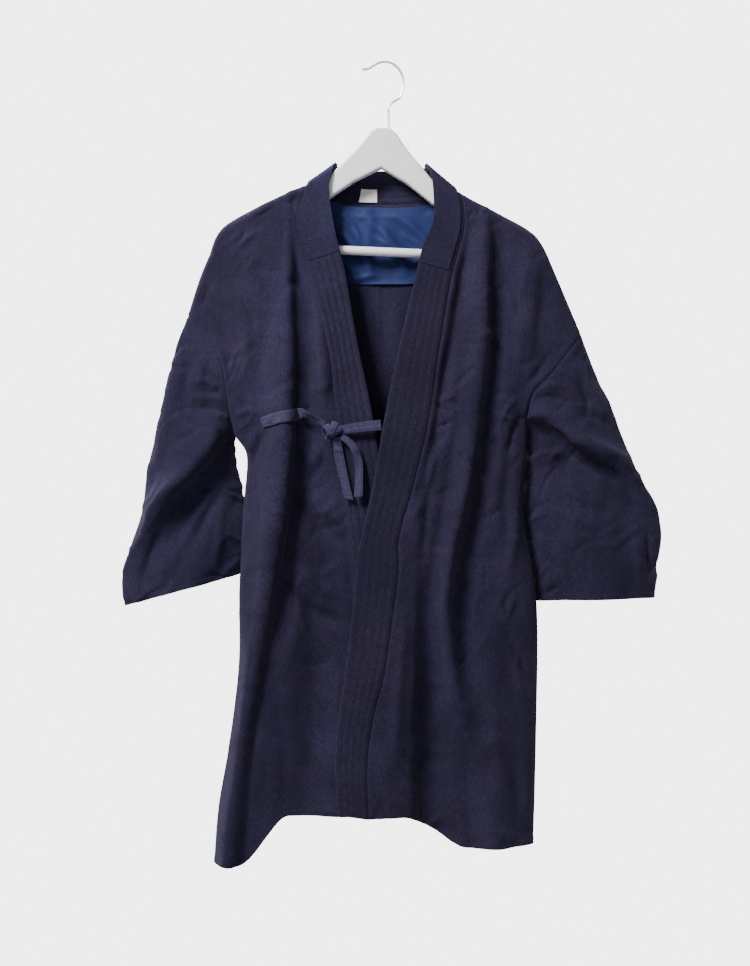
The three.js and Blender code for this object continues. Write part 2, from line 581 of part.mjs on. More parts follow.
const quilting = (row, column) => {
  const edge = column === 0 || column === collarColumns;
  return edge ? 0 : quiltRise * Math.abs(Math.sin((Math.PI * quiltRidges * column) / collarColumns));
};
const pressed = (column) => {
  if (column === 0) return 0.5;
  return column === collarColumns ? 0.7 : 1;
};
add('collar', wallSolid(drawBack(collar, ['first']), {
  thick: collarThick, relief: quilting, thin: pressed,
}), navy);

// Pieces that lie on others, made from the points below them
const neckSection = bodyRows + neckColumns;
const coverEnds = [19, 37];      // sections of the collar
const cover = partOf(collar, { rows: coverEnds, columns: [1, 10], steps: 18, across: 9 });
add('collar_cover', wallSolid(cover, {
  thick: coverThick, lift: collarThick / 2 + quiltRise + layGap + coverThick / 2,
}), navy);

const label = partOf(collar, { rows: [neckSection - 0.95, neckSection - 0.05], columns: [0.6, 4.4],
  steps: 3, across: 3 });
add('neck_label', wallSolid(label, {
  thick: labelThick, lift: -(collarThick / 2 + layGap + labelThick / 2),
}), cream);

// Both backs as one grid, from the right side seam to the left one
function wholeBack() {
  const across = (field) => field(backRight).map((line, row) =>
    [...line.slice().reverse(), ...field(backLeft)[row].slice(1)]);
  const grid = { points: across((back) => back.points), ring: false, turned: 1 };
  findNormals(grid);
  turnOut(grid, middleRow, neckColumns, towardsBack);
  grid.normals = across((back) => back.normals);
  return grid;
}
const lastColumn = neckColumns + frontColumns;
const lining = partOf(wholeBack(), { rows: [1, 5.2], columns: [lastColumn - 8, lastColumn + 8], steps: 5,
  across: 16 });
add('yoke_lining', wallSolid(lining, {
  thick: liningThick, lift: -(wall / 2 + layGap + liningThick / 2),
}), blue);

// Ties: flat tapes, a knot and two hanging ends
const tieEase = 0.3;     // the tape lies a little looser than the flat pieces
function sewnTie() {
  const sewn = partOf(frontRight, { rows: [10, 12], columns: [10, 5], steps: 2, across: 10 });
  const lift = wall / 2 + layGap + tieEase + tapeThick / 2;
  const lines = [];
  for (let step = 0; step <= 10; step += 1) {
    lines.push(sewn.points.map((line, i) => line[step].clone().addScaledVector(sewn.normals[i][step], lift)));
  }
  const free = tapePoints(table(tapeColumns, [[0, -112, -27, -474, 0, -4, 10, tapeWide],
    [1, -101, -29, -478, 3, -8, 7, tapeWide - 2], [2, -91, -30, -483, 4, -5, 10, tapeWide - 3],
    [3, -81.5, -31, -489, 3, -3, 10, tapeWide - 4]]), 6);
  lines.push(...free.map((line) => line.slice().reverse()));
  const grid = { points: lines, ring: false, turned: 1 };
  findNormals(grid);
  return turnOut(grid, 0, 1, towardsFront);
}
add('tie_right', wallSolid(sewnTie(), { thick: tapeThick }), navy);

const tapes = {
  tie_left: table(tapeColumns, [[0, -61.5, -31.5, -497, 1, 0, 10, 12], [1, -45, -33.5, -494.5, 1, -1, 10, 13],
    [2, -26, -36, -492, 1, -1, 10, 13.5], [3, -7, -40.5, -490.5, -1, -1, 10, 13.5]]),
  tie_end_right: table(tapeColumns, [[0, -66, -30, -506, 10, 0, -1, 10],
    [1, -62.5, -28.5, -532, 10, 0, -1, 13], [2, -55, -28.5, -566, 10, -1, -3, 13],
    [3, -50, -29, -588, 10, -1, -3, 13.5]]),
  tie_end_left: table(tapeColumns, [[0, -59.5, -33, -505, 8, 0, 6, 8], [1, -46, -34, -516, 8, 2, 7, 10],
    [2, -38, -33, -533, 10, 4, 3, 11], [3, -36, -34, -556, 10, -4, -2, 11],
    [4, -37, -35, -585, 10, -2, 1, 12]]),
};
for (const [name, route] of Object.entries(tapes)) {
  add(name, wallSolid(tapeGrid(route, 9, towardsFront), { thick: tapeThick }), navy);
}

function knotSolid() {
  const knot = new THREE.SphereGeometry(1, 14, 10);
  knot.scale(9, 6, 9.5);
  knot.rotateY(THREE.MathUtils.degToRad(20));
  knot.translate(-70.5, -32.5, -496);
  return knot;
}
add('tie_knot', knotSolid(), navy);

hangerParts();
hookParts();

export default model;
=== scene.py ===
import math

import bmesh
import bpy
import numpy as np
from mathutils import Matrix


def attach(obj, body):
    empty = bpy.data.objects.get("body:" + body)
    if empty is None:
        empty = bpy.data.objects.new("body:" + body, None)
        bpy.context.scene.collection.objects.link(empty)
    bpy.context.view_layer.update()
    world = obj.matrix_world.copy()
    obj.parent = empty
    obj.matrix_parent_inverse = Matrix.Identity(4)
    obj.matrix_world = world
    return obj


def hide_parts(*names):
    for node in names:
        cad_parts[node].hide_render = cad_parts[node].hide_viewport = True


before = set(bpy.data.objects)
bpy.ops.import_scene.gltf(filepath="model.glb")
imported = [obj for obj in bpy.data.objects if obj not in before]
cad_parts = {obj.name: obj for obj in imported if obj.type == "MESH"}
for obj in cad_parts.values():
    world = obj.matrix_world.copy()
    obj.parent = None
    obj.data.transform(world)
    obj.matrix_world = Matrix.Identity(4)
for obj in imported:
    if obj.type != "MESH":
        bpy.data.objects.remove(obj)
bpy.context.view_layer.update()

mm = 0.001                      # all shapes below are in millimetres and scaled as they become meshes


def say(text):
    print("stage:", text)


# Camera first: level with the middle of the jacket, square on to its front.
camera = {
    "distance": 1.70,           # from the hanger's plane
    "aimX": -0.015,
    "aimZ": -0.567,
    "shownHeight": 1.304,       # what the picture's height takes in at the hanger
    "sensor": 36.0,
}


def makeCamera(c):
    data = bpy.data.cameras.new("camera")
    data.sensor_width = c["sensor"]
    data.lens = c["sensor"] * c["distance"] / c["shownHeight"]
    data.clip_end = 20
    eye = bpy.data.objects.new("camera", data)
    eye.location = (c["aimX"], -c["distance"], c["aimZ"])
    eye.rotation_euler = (math.radians(90), 0, 0)
    bpy.context.scene.collection.objects.link(eye)
    bpy.context.scene.camera = eye


makeCamera(camera)


# Tables have a row for each section or level, with named columns, and are read between rows too.
def table(columns, rows):
    names = columns.split()
    return {name: np.array([float(row[i]) for row in rows]) for i, name in enumerate(names)}


def read(rows, column, at):
    keys, values = rows["at"], rows[column]
    at = np.clip(np.asarray(at, float), keys[0], keys[-1])
    last = len(keys) - 1
    i = np.clip(np.searchsorted(keys, at, side="right") - 1, 0, last - 1)
    before, after = np.maximum(i - 1, 0), np.minimum(i + 2, last)
    span = keys[i + 1] - keys[i]
    s = (at - keys[i]) / span
    startSlope = (values[i + 1] - values[before]) / (keys[i + 1] - keys[before]) * span
    endSlope = (values[after] - values[i]) / (keys[after] - keys[i]) * span
    s2, s3 = s * s, s * s * s
    return ((2 * s3 - 3 * s2 + 1) * values[i] + (s3 - 2 * s2 + s) * startSlope
            + (3 * s2 - 2 * s3) * values[i + 1] + (s3 - s2) * endSlope)


def mix(a, b, share):
    return a + (b - a) * share


def smooth(share):
    s = np.clip(share, 0, 1)
    return s * s * (3 - 2 * s)


# Shape of the hanging jacket. Left and right are the wearer's.
place = "at x z"
shoulder = {
    "right": table(place, [
        [0, -107, -166], [0.18, -133, -176.5], [0.42, -180, -199.5], [0.6, -216, -220.5],
        [0.69, -229, -237], [0.78, -237, -259], [0.87, -250, -290], [1, -267, -343]]),
    "left": table(place, [
        [0, 94.5, -174], [0.2, 118, -187.5], [0.44, 156, -207], [0.64, 197, -231], [0.73, 212, -251],
        [0.84, 227, -285], [0.92, 242, -320], [1, 262, -367]]),
}
seamColumns = "at x z depth"
collarSeam = {
    "right": table(seamColumns, [
        [0, -107, -166, 10], [0.13, -119, -205, 12], [0.25, -117, -241, 13], [0.44, -100, -299, 15],
        [0.73, -77, -388, 18], [1, -67, -471, 20], [1.15, -54.5, -550, 20], [1.37, -38.6, -662, 20],
        [1.65, -24, -820, 20], [2, -6, -1012, 21]]),
    "left": table(seamColumns, [
        [0, 94.5, -174, 10], [0.07, 102.5, -193, 12], [0.16, 103, -226, 14], [0.28, 93.7, -263, 17],
        [0.38, 85.3, -295, 21], [0.68, 69, -391, 28], [1, 53, -495, 35], [1.15, 33, -576, 38],
        [1.28, 15.5, -640, 40], [1.37, 15, -681, 41], [1.46, 9, -732, 42], [1.62, -4, -820, 45],
        [1.73, -17.5, -872, 46], [1.86, -26, -935, 48], [2, -24, -1008, 50]]),
}
outerSeam = {
    "right": table(place, [
        [0, -267, -343], [0.14, -250, -366], [0.36, -224, -398], [0.7, -214, -450], [1, -203, -503],
        [1.07, -187, -530], [1.2, -192, -605], [1.4, -197, -715], [1.6, -198, -815], [1.8, -212, -925],
        [1.9, -225, -1000], [2, -231, -1076]]),
    "left": table(place, [
        [0, 262, -367], [0.15, 245, -390], [0.35, 222, -420], [0.65, 197, -447], [1, 189, -478],
        [1.05, 188.8, -503], [1.1, 188, -530], [1.25, 184.5, -605], [1.42, 198, -690], [1.52, 203, -745],
        [1.7, 203, -850], [2, 198, -1052]]),
}
hemDrop = {"right": (0.55, 0.85), "left": (0.2, 0.6), "backRight": (0.6, 0.93), "backLeft": (0.1, 1.0)}
edgeColumns = "at x y z"
collarEdge = {
    "right": table(edgeColumns, [
        [0, -66, 0, -136.5], [0.03, -71, -8, -146], [0.08, -77, -12, -168], [0.25, -69, -15, -227],
        [0.44, -55, -18, -283], [0.73, -38, -22, -379], [1, -20, -24, -466], [1.15, -7, -24, -542],
        [1.37, 11, -24, -652], [1.65, 27, -24, -816], [2, 45, -25, -1008]]),
    "left": table(edgeColumns, [
        [0, 52, 0, -137.5], [0.03, 59, -8, -148], [0.08, 63, -12, -172], [0.18, 62.5, -17, -217],
        [0.28, 49, -21, -250], [0.38, 41, -25, -283], [0.68, 20, -33, -373], [1, -4, -41, -488],
        [1.15, -17, -44, -566], [1.28, -31, -46, -629], [1.37, -38.5, -47, -669], [1.46, -43, -48, -722],
        [1.62, -53.5, -49, -812], [1.73, -61, -50, -864], [1.86, -67, -51, -930], [2, -64, -52, -1002]]),
}
centreBack = -11
centreSeam = {"top": -188, "footX": -8, "foot": -1006, "armpitAt": 0.7}
neckPlaces = "at x y z edgeX edgeY edgeZ"
neckline = {
    "right": table(neckPlaces, [
        [0, -107, 0, -166, -66, 0, -136.5], [0.25, -95, 13, -171, -65, 12, -138],
        [0.5, -68, 16, -181, -48, 18, -139.5], [0.75, -39, 18, -187, -30, 21, -140.5],
        [1, centreBack, 19, -188, centreBack, 22, -141]]),
    "left": table(neckPlaces, [
        [0, 94.5, 0, -174, 52, 0, -137.5], [0.25, 82, 13, -178, 52, 12, -139],
        [0.5, 53, 16, -185, 37, 18, -140.5], [0.75, 21, 18, -188, 14, 21, -141],
        [1, centreBack, 19, -188, centreBack, 22, -141]]),
}


# Folds, from the top down: level, crest, how far it stands out, and its fall to each side.
def foldTable(rows):
    return table("at x rise fallLow fallHigh", [[-row[0]] + row[1:] for row in rows])


folds = {
    "frontRight": [
        foldTable([
            [-200, -134, 0, 30, 14], [-260, -134, 7, 30, 16], [-400, -136, 11, 36, 18],
            [-540, -140, 16, 40, 19], [-650, -154, 19, 36, 20], [-780, -174, 22, 32, 20],
            [-880, -192, 28, 34, 22], [-1000, -212, 38, 30, 30], [-1076, -219, 42, 30, 32]]),
        foldTable([
            [-240, -90, 0, 14, 16], [-310, -89, 6, 14, 18], [-420, -82, 5, 14, 16], [-470, -80, 0, 14, 16]]),
        foldTable([
            [-500, -92, 0, 30, 26], [-560, -90, -5, 34, 28], [-640, -86, -8, 40, 34],
            [-760, -88, -9, 44, 44], [-900, -96, -10, 48, 50], [-1020, -112, -10, 50, 52]]),
    ],
    "frontLeft": [
        foldTable([
            [-205, 126, 0, 16, 22], [-250, 126, 7, 20, 22], [-400, 125, 11, 28, 22],
            [-470, 118, 12, 28, 22], [-548, 109, 13, 28, 22], [-605, 97, 13, 26, 22],
            [-668, 83, 13, 24, 22], [-740, 77, 11, 22, 24], [-810, 83, 9, 22, 28], [-880, 100, 6, 26, 30],
            [-964, 122, 0, 34, 34]]),
        foldTable([
            [-690, 52, 0, 18, 22], [-790, 60, -10, 24, 30], [-900, 58, -13, 28, 40],
            [-1030, 62, -14, 32, 46]]),
        foldTable([
            [-720, 140, 0, 36, 30], [-850, 142, 8, 40, 32], [-960, 148, 13, 44, 30],
            [-1060, 150, 16, 46, 30]]),
        foldTable([
            [-240, 190, 0, 30, 20], [-330, 186, 5, 30, 24], [-430, 172, 5, 30, 20], [-520, 165, 0, 30, 20]]),
    ],
    "backRight": [
        foldTable([
            [-240, -70, 0, 30, 30], [-420, -74, 7, 32, 30], [-700, -84, 11, 38, 34],
            [-1040, -96, 15, 46, 40]]),
        foldTable([[-420, -130, 0, 26, 26], [-620, -136, -8, 32, 30], [-1050, -152, -12, 40, 38]]),
        foldTable([[-560, -168, 0, 20, 20], [-760, -172, 7, 24, 24], [-1050, -186, 10, 26, 28]]),
    ],
    "backLeft": [
        foldTable([
            [-260, 44, 0, 30, 30], [-480, 50, 8, 34, 34], [-760, 60, 10, 38, 40], [-1040, 70, 14, 42, 48]]),
        foldTable([[-380, 108, 0, 28, 28], [-640, 112, -8, 34, 32], [-1050, 128, -13, 38, 40]]),
        foldTable([[-520, 154, 0, 22, 20], [-800, 160, 8, 24, 22], [-1050, 166, 9, 26, 24]]),
    ],
}

sleeveColumns = "at topX topZ underX underZ underY depth"
sleeveLines = {
    "right": table(sleeveColumns, [
        [0, -267, -343, -203, -503, 0, 12], [0.14, -283, -384, -206, -517, 3, 15],
        [0.28, -293, -436, -206, -532, 6, 18], [0.42, -308, -494, -202, -552, 11, 20],
        [0.56, -322, -552, -197, -578, 15, 21], [0.7, -329, -606, -191, -607, 17, 21],
        [0.82, -345, -655, -191, -640, 17, 20], [0.92, -356, -698, -193, -668, 17, 19],
        [1, -352, -732, -195, -690, 17, 18]]),
    "left": table(sleeveColumns, [
        [0, 262, -367, 189, -478, 0, 12], [0.14, 279, -412, 191.5, -496, 7, 15],
        [0.28, 299, -460, 188.5, -520, 14, 18], [0.42, 320, -510, 186, -552, 16, 20],
        [0.56, 341, -558, 182, -592, 17, 21], [0.7, 360, -597, 185, -635, 18, 21],
        [0.82, 366, -640, 191, -676, 18, 20], [0.92, 364, -684, 197, -706, 18, 19],
        [1, 360, -721, 200, -727, 18, 18]]),
}


def sleeveFold(rows):
    return table("at x rise fallLow fallHigh", rows)


sleeveFolds = {
    "right": [
        sleeveFold([
            [0, 1, 0, 0.3, 0.12], [0.1, 0.9, 11, 0.35, 0.12], [0.3, 0.72, 17, 0.4, 0.12],
            [0.5, 0.48, 18, 0.4, 0.13], [0.62, 0.28, 16, 0.35, 0.15], [0.75, 0.1, 9, 0.3, 0.2],
            [0.86, 0, 0, 0.3, 0.2]]),
        sleeveFold([
            [0.5, 0.75, 0, 0.15, 0.2], [0.68, 0.5, -6, 0.2, 0.25], [0.84, 0.3, -6, 0.2, 0.3],
            [1, 0.25, -3, 0.2, 0.3]]),
        sleeveFold([[0.72, 0.72, 0, 0.18, 0.2], [0.86, 0.68, 5, 0.2, 0.2], [1, 0.62, 6, 0.2, 0.22]]),
    ],
    "left": [
        sleeveFold([
            [0, 1, 0, 0.3, 0.12], [0.1, 0.86, 9, 0.35, 0.12], [0.25, 0.66, 13, 0.4, 0.13],
            [0.38, 0.42, 14, 0.4, 0.14], [0.5, 0.18, 12, 0.3, 0.16], [0.62, 0.02, 6, 0.3, 0.2],
            [0.74, 0, 0, 0.3, 0.2]]),
        sleeveFold([
            [0.3, 0.86, 0, 0.14, 0.14], [0.45, 0.62, -7, 0.16, 0.24], [0.6, 0.34, -8, 0.18, 0.26],
            [0.74, 0.14, -5, 0.16, 0.26], [0.86, 0.05, 0, 0.16, 0.26]]),
        sleeveFold([[0.6, 0.85, 0, 0.2, 0.12], [0.8, 0.55, 5, 0.22, 0.2], [1, 0.4, 5, 0.24, 0.22]]),
    ],
}
backSleeveFold = sleeveFold([
    [0.1, 0.75, 0, 0.25, 0.2], [0.4, 0.6, 8, 0.3, 0.25], [0.7, 0.45, 9, 0.3, 0.3], [1, 0.4, 5, 0.3, 0.3]])

jacket = {
    "wall": 2.0,
    "frontDepth": (11, 24),     # of the front away from its collar, at the top and at the hem
    "backDepth": (17, 22, 15),  # of the back: at the neck, at the hem and at the side
    "neckReach": 1.6,           # how fast the collar's own depth gives way to it
    "armCrowding": 0.85,        # sections gather at the shoulder and the armpit,
    "columnCrowding": 1.25,     # and columns at the side
    "armDepth": 12,             # half depth of the armhole
    "roundOver": 9,             # radius of the fold over the hanger's arm
    "sideSquare": 6,            # how squarely the panels turn in at the side seams
    "armRows": 12,              # sections from the shoulder to the armpit
    "bodyRows": 24,             # and to the hem
    "frontColumns": 16,
    "neckColumns": 4,
    "neckShare": 0.36,
    "finerRows": 9,             # cloth cells for each section
    "finerColumns": 6,
}
armRows, bodyRows = jacket["armRows"], jacket["bodyRows"]
frontColumns, neckColumns = jacket["frontColumns"], jacket["neckColumns"]


# How far the folds of a panel stand out, each with its own slope to both sides
def foldRise(foldSet, along, across):
    total = np.zeros(np.broadcast(along, across).shape)
    for fold in foldSet:
        offset = across - read(fold, "x", along)
        reach = np.where(offset < 0, read(fold, "fallLow", along), read(fold, "fallHigh", along))
        share = np.clip(np.abs(offset) / reach, 0, 1)
        total += read(fold, "rise", along) * (1 + np.cos(np.pi * share)) / 2
    return total


def armShare(row):
    return row / armRows - jacket["armCrowding"] * np.sin(2 * np.pi * row / armRows) / (2 * np.pi)


def levelOf(row):
    return np.where(row <= armRows, armShare(np.minimum(row, armRows)),
                    1 + (row - armRows) / (bodyRows - armRows))


def columnShare(column):
    return 1 - (1 - column / frontColumns) ** jacket["columnCrowding"]


def rounded(drop):
    return np.sqrt(np.clip(1 - np.clip(1 - drop / jacket["roundOver"], 0, None) ** 2, 0, None))


def edgeDepth(share):
    return jacket["armDepth"] * np.sqrt(np.clip(np.sin(np.pi * share), 0, None))


# Middle surface of a body panel: "share" runs from its inner seam to its outer one, and "level" from
# the shoulder at 0 past the armpit at 1 to the hem at 2.
def bodyPoints(side, inner, top, share, level, drop, depthAt, foldSet, facing):
    outer = {axis: (lambda at, axis=axis: read(outerSeam[side], axis, at)) for axis in "xz"}
    upper, spot = level <= 1, {}
    capped = np.minimum(level, 1)
    for axis in "xz":
        low = mix(inner(1)[axis], outer[axis](1), share)
        innerOff = inner(capped)[axis] - mix(top(0)[axis], inner(1)[axis], capped)
        outerOff = outer[axis](capped) - mix(top(1)[axis], outer[axis](1), capped)
        spot[axis] = (mix(top(share)[axis], low, capped) + (1 - share) ** 2 * innerOff
                      + share ** 2 * outerOff)
    hang = mix(share, smooth((share - drop[0]) / (drop[1] - drop[0])), smooth((level - 1) * 1.6))
    x = np.where(upper, spot["x"], mix(inner(level)["x"], outer["x"](level), share))
    z = np.where(upper, spot["z"], mix(inner(level)["z"], outer["z"](level), hang))
    over = rounded(top(share)["z"] - z)
    turn = np.sqrt(np.clip(1 - share ** jacket["sideSquare"], 0, None))
    edge = np.where(level < 1, edgeDepth(capped), 0)
    rise = foldRise(foldSet, -z, x) * over * (1 - share ** 20)
    depth = edge + (depthAt(share, level) * over - edge) * turn + rise * turn
    return np.stack([x, facing * depth, z], axis=-1), over


def frontPoints(side, rows, columns):
    seam, line = collarSeam[side], shoulder[side]
    inner = lambda at: {"x": read(seam, "x", at), "z": read(seam, "z", at)}
    top = lambda share: {"x": read(line, "x", share), "z": read(line, "z", share)}
    level = levelOf(rows)[:, None] + np.zeros_like(columns)[None, :]
    share = columnShare(columns)[None, :] + np.zeros_like(level)
    depthAt = lambda s, at: mix(read(seam, "depth", at), mix(*jacket["frontDepth"], smooth(at / 2)),
                                smooth(s * jacket["neckReach"]))
    foldSet = folds["frontRight" if side == "right" else "frontLeft"]
    return bodyPoints(side, inner, top, share, level, hemDrop[side], depthAt, foldSet, -1)[0]


def backPoints(side, rows, columns):
    neck, line, part = neckline[side], shoulder[side], jacket["neckShare"]
    armpitAt, (neckDepth, hemDepth, sideDepth) = centreSeam["armpitAt"], jacket["backDepth"]
    down = lambda at: np.where(at <= 1, armpitAt * at, armpitAt + (2 - armpitAt) * (at - 1)) / 2
    inner = lambda at: {"x": mix(centreBack, centreSeam["footX"], down(at)),
                        "z": mix(centreSeam["top"], centreSeam["foot"], down(at))}

    def top(share):
        nearNeck = share < part
        neckAt, shoulderAt = 1 - share / part, (share - part) / (1 - part)
        return {axis: np.where(nearNeck, read(neck, axis, neckAt), read(line, axis, shoulderAt))
                for axis in "xz"}

    level = levelOf(rows)[:, None] + np.zeros_like(columns)[None, :]
    share = np.where(columns < neckColumns, part * columns / neckColumns,
                     mix(part, 1, columnShare(np.maximum(columns - neckColumns, 0))))
    share = share[None, :] + np.zeros_like(level)
    depthAt = lambda s, at: mix(mix(neckDepth, hemDepth, at / 2), sideDepth, s)
    panel = "backRight" if side == "right" else "backLeft"
    points, over = bodyPoints(side, inner, top, share, level, hemDrop[panel], depthAt, folds[panel], 1)
    points[..., 1] += np.where(share < part, read(neck, "y", 1 - share / part), 0) * (1 - over)
    return points


# Middle surface of a sleeve: a ring of cells round it, over the front and back under the arm, step by step
def sleevePoints(side, steps, cells):
    lines, count = sleeveLines[side], 2 * armRows
    front = cells <= armRows
    share = armShare(np.where(front, cells, count - cells))[None, :]
    at = (steps / steps[-1])[:, None]
    nearSeam = smooth(1 - at * 4)
    spot = {}
    for axis, topName, underName in (("x", "topX", "underX"), ("z", "topZ", "underZ")):
        outer = lambda s, axis=axis: read(outerSeam[side], axis, s)
        bow = outer(share) - mix(outer(0), outer(1), share)
        spot[axis] = mix(read(lines, topName, at), read(lines, underName, at), share) + bow * nearSeam
    bulge = np.clip(np.sin(np.pi * share), 0, None)
    depth = read(lines, "depth", at) * np.sqrt(bulge)
    frontRise, backRise = foldRise(sleeveFolds[side], at, share), foldRise([backSleeveFold], at, share)
    rise = np.where(front[None, :], frontRise, backRise) * bulge ** 0.4 * smooth(at * 8)
    lean = read(lines, "underY", at) * smooth(share)
    y = lean + np.where(front, -1, 1)[None, :] * (depth + rise)
    return np.stack([spot["x"], y, spot["z"]], axis=-1)


# Normals that point out of the garment
def normalsOf(points, outwards, ring=False):
    if ring:
        across = np.roll(points, -1, axis=1) - np.roll(points, 1, axis=1)
    else:
        across = np.gradient(points, axis=1)
    down = np.gradient(points, axis=0)
    normals = np.cross(across, down)
    length = np.linalg.norm(normals, axis=-1, keepdims=True)
    normals = normals / np.maximum(length, 1e-9)
    r, c = points.shape[0] // 2, points.shape[1] // (4 if ring else 2)
    if np.dot(normals[r, c], outwards) < 0:
        normals = -normals
    return normals


def lengthsOf(points):
    across = np.linalg.norm(np.diff(points, axis=1), axis=-1)
    down = np.linalg.norm(np.diff(points, axis=0), axis=-1)
    u = np.concatenate([np.zeros((points.shape[0], 1)), np.cumsum(across, axis=1)], axis=1)
    v = np.concatenate([np.zeros((1, points.shape[1])), np.cumsum(down, axis=0)], axis=0)
    return u, v


# Where two grids share an edge point, they share its normal too.
def joinSeams(grids):
    shared = {}
    border = []
    for grid in grids:
        rows, columns = grid["points"].shape[:2]
        edge = np.zeros((rows, columns), bool)
        edge[0], edge[-1] = True, True
        if not grid["ring"]:
            edge[:, 0], edge[:, -1] = True, True
        for r, c in zip(*np.nonzero(edge)):
            key = tuple(np.round(grid["points"][r, c] * 10).astype(int))
            shared[key] = shared.get(key, 0) + grid["normals"][r, c]
            border.append((grid, r, c, key))
    for grid, r, c, key in border:
        grid["normals"][r, c] = shared[key] / max(np.linalg.norm(shared[key]), 1e-9)


def makeGrid(points, outwards, ring=False):
    return {"points": points, "normals": normalsOf(points, np.array(outwards, float), ring), "ring": ring}


# Creases and wrinkles laid on one by one: each has a route across the cloth, in x and z.
def creaseRise(creases, x, z):
    total = np.zeros_like(x)
    for crease in creases:
        route = np.array(crease["route"], float)
        steps = np.linalg.norm(np.diff(route, axis=0), axis=1)
        starts = np.concatenate([[0], np.cumsum(steps)])
        best, along = np.full(x.shape, 1e9), np.zeros_like(x)
        for i, step in enumerate(steps):
            a, d = route[i], (route[i + 1] - route[i]) / step
            s = np.clip((x - a[0]) * d[0] + (z - a[1]) * d[1], 0, step)
            gap = np.hypot(x - a[0] - s * d[0], z - a[1] - s * d[1])
            near = gap < best
            best, along = np.where(near, gap, best), np.where(near, starts[i] + s, along)
        share = along / starts[-1]
        taper = np.sin(np.pi * np.clip(share, 0.02, 0.98)) ** 0.7
        total += crease["rise"] * taper * np.exp(-(best / (0.55 * crease["width"])) ** 2)
    return total


# Soft unevenness: random heights on a lattice, joined smoothly and stretched down the cloth
def crumple(x, z, size, seed):
    heights = np.random.default_rng(seed).normal(0, 1, (64, 64))
    across, down = x / size + 50, z / (1.7 * size) + 50
    i, j = np.floor(across).astype(int), np.floor(down).astype(int)
    a, b = smooth(across - i), smooth(down - j)
    i, j = i % 63, j % 63
    return mix(mix(heights[i, j], heights[i + 1, j], a), mix(heights[i, j + 1], heights[i + 1, j + 1], a), b)


def wrinkles(x, z, height, seed):
    random = np.random.default_rng(seed)
    total = np.zeros_like(x)
    for i in range(14):
        angle = random.normal(0, 0.5)
        wave = random.uniform(26, 90)
        phase, bend = random.uniform(0, 6.28, 2)
        across = x * np.cos(angle) + z * np.sin(angle) + 14 * np.sin(z / 95 + bend)
        total += np.sin(2 * np.pi * across / wave + phase) * np.sin(z / random.uniform(60, 150) + bend)
    soft = sum(share * crumple(x, z, size, seed + more)
               for share, size, more in ((1.5, 46, 0), (0.75, 21, 50), (0.32, 10, 90)))
    return height * (total / 4 + soft * 0.8)


# Cloth solid: outer and inner face of a grid, closed round its edges
def closedWall(name, grid, thick, lift=0, relief=0, innerRelief=0):
    points, normals, ring = grid["points"], grid["normals"], grid["ring"]
    rows, columns = points.shape[:2]
    outerMove = np.broadcast_to(lift + thick / 2 + relief, (rows, columns))[..., None]
    innerMove = np.broadcast_to(lift - thick / 2 - innerRelief, (rows, columns))[..., None]
    verts = np.concatenate([(points + normals * outerMove).reshape(-1, 3),
                            (points + normals * innerMove).reshape(-1, 3)])
    index = np.arange(rows * columns).reshape(rows, columns)
    if ring:
        index = np.concatenate([index, index[:, :1]], axis=1)
    a, b, c, d = index[:-1, :-1], index[:-1, 1:], index[1:, 1:], index[1:, :-1]
    outer = np.stack([a, b, c, d], axis=-1).reshape(-1, 4)
    across = points[rows // 2, 1] - points[rows // 2, 0]
    down = points[rows // 2 + 1, 0] - points[rows // 2, 0]
    if np.dot(np.cross(across, down), normals[rows // 2, 0]) < 0:
        outer = outer[:, ::-1]
    size = rows * columns
    inner = outer[:, ::-1] + size
    turned = outer[0, 0] != index[0, 0]
    loops = [index[0], index[-1]] if ring else [index[0], index[-1], index[:, 0], index[:, -1]]
    rims = []
    for i, line in enumerate(loops):
        p, q = line[:-1], line[1:]
        quad = np.stack([p, p + size, q + size, q], axis=-1)
        flip = (i in (1, 2)) != turned
        rims.append(quad[:, ::-1] if flip else quad)
    faces = np.concatenate([outer, inner] + rims)
    mesh = bpy.data.meshes.new(name)
    mesh.vertices.add(len(verts))
    mesh.vertices.foreach_set("co", (verts * mm).ravel())
    mesh.loops.add(faces.size)
    mesh.loops.foreach_set("vertex_index", faces.ravel())
    mesh.polygons.add(len(faces))
    mesh.polygons.foreach_set("loop_start", np.arange(0, faces.size, 4))
    mesh.polygons.foreach_set("loop_total", np.full(len(faces), 4))
    flat = np.stack(grid.get("uv") or lengthsOf(points), axis=-1).reshape(-1, 2) * mm
    layer = mesh.uv_layers.new(name="cloth")
    layer.data.foreach_set("uv", np.concatenate([flat, flat])[faces.ravel()].ravel())
    mesh.update(calc_edges=True)
    mesh.validate()
    piece = bpy.data.objects.new(name, mesh)
    bpy.context.scene.collection.objects.link(piece)
    smoothShade(piece, 50)
    return piece


def onlySelect(piece):
    bpy.ops.object.select_all(action="DESELECT")
    piece.select_set(True)
    bpy.context.view_layer.objects.active = piece


def smoothShade(piece, degrees):
    onlySelect(piece)
    bpy.ops.object.shade_smooth_by_angle(angle=math.radians(degrees))


def finishPiece(piece, material, slotName, *nodes):
    piece.data.materials.clear()
    piece.data.materials.append(material)
    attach(piece, "root")
    if nodes:
        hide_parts(*nodes)


# Materials. An input of a node is given a value or joined to another node's output.
def feed(tree, node, inputs):
    for name, value in inputs.items():
        if isinstance(value, bpy.types.NodeSocket):
            tree.links.new(value, node.inputs[name])
        else:
            node.inputs[name].default_value = value


def addNode(tree, kind, inputs=None, **settings):
    node = tree.nodes.new(kind)
    for name, value in settings.items():
        setattr(node, name, value)
    feed(tree, node, inputs or {})
    return node


def compute(tree, operation, *values):
    return addNode(tree, "ShaderNodeMath", dict(enumerate(values)), operation=operation).outputs[0]


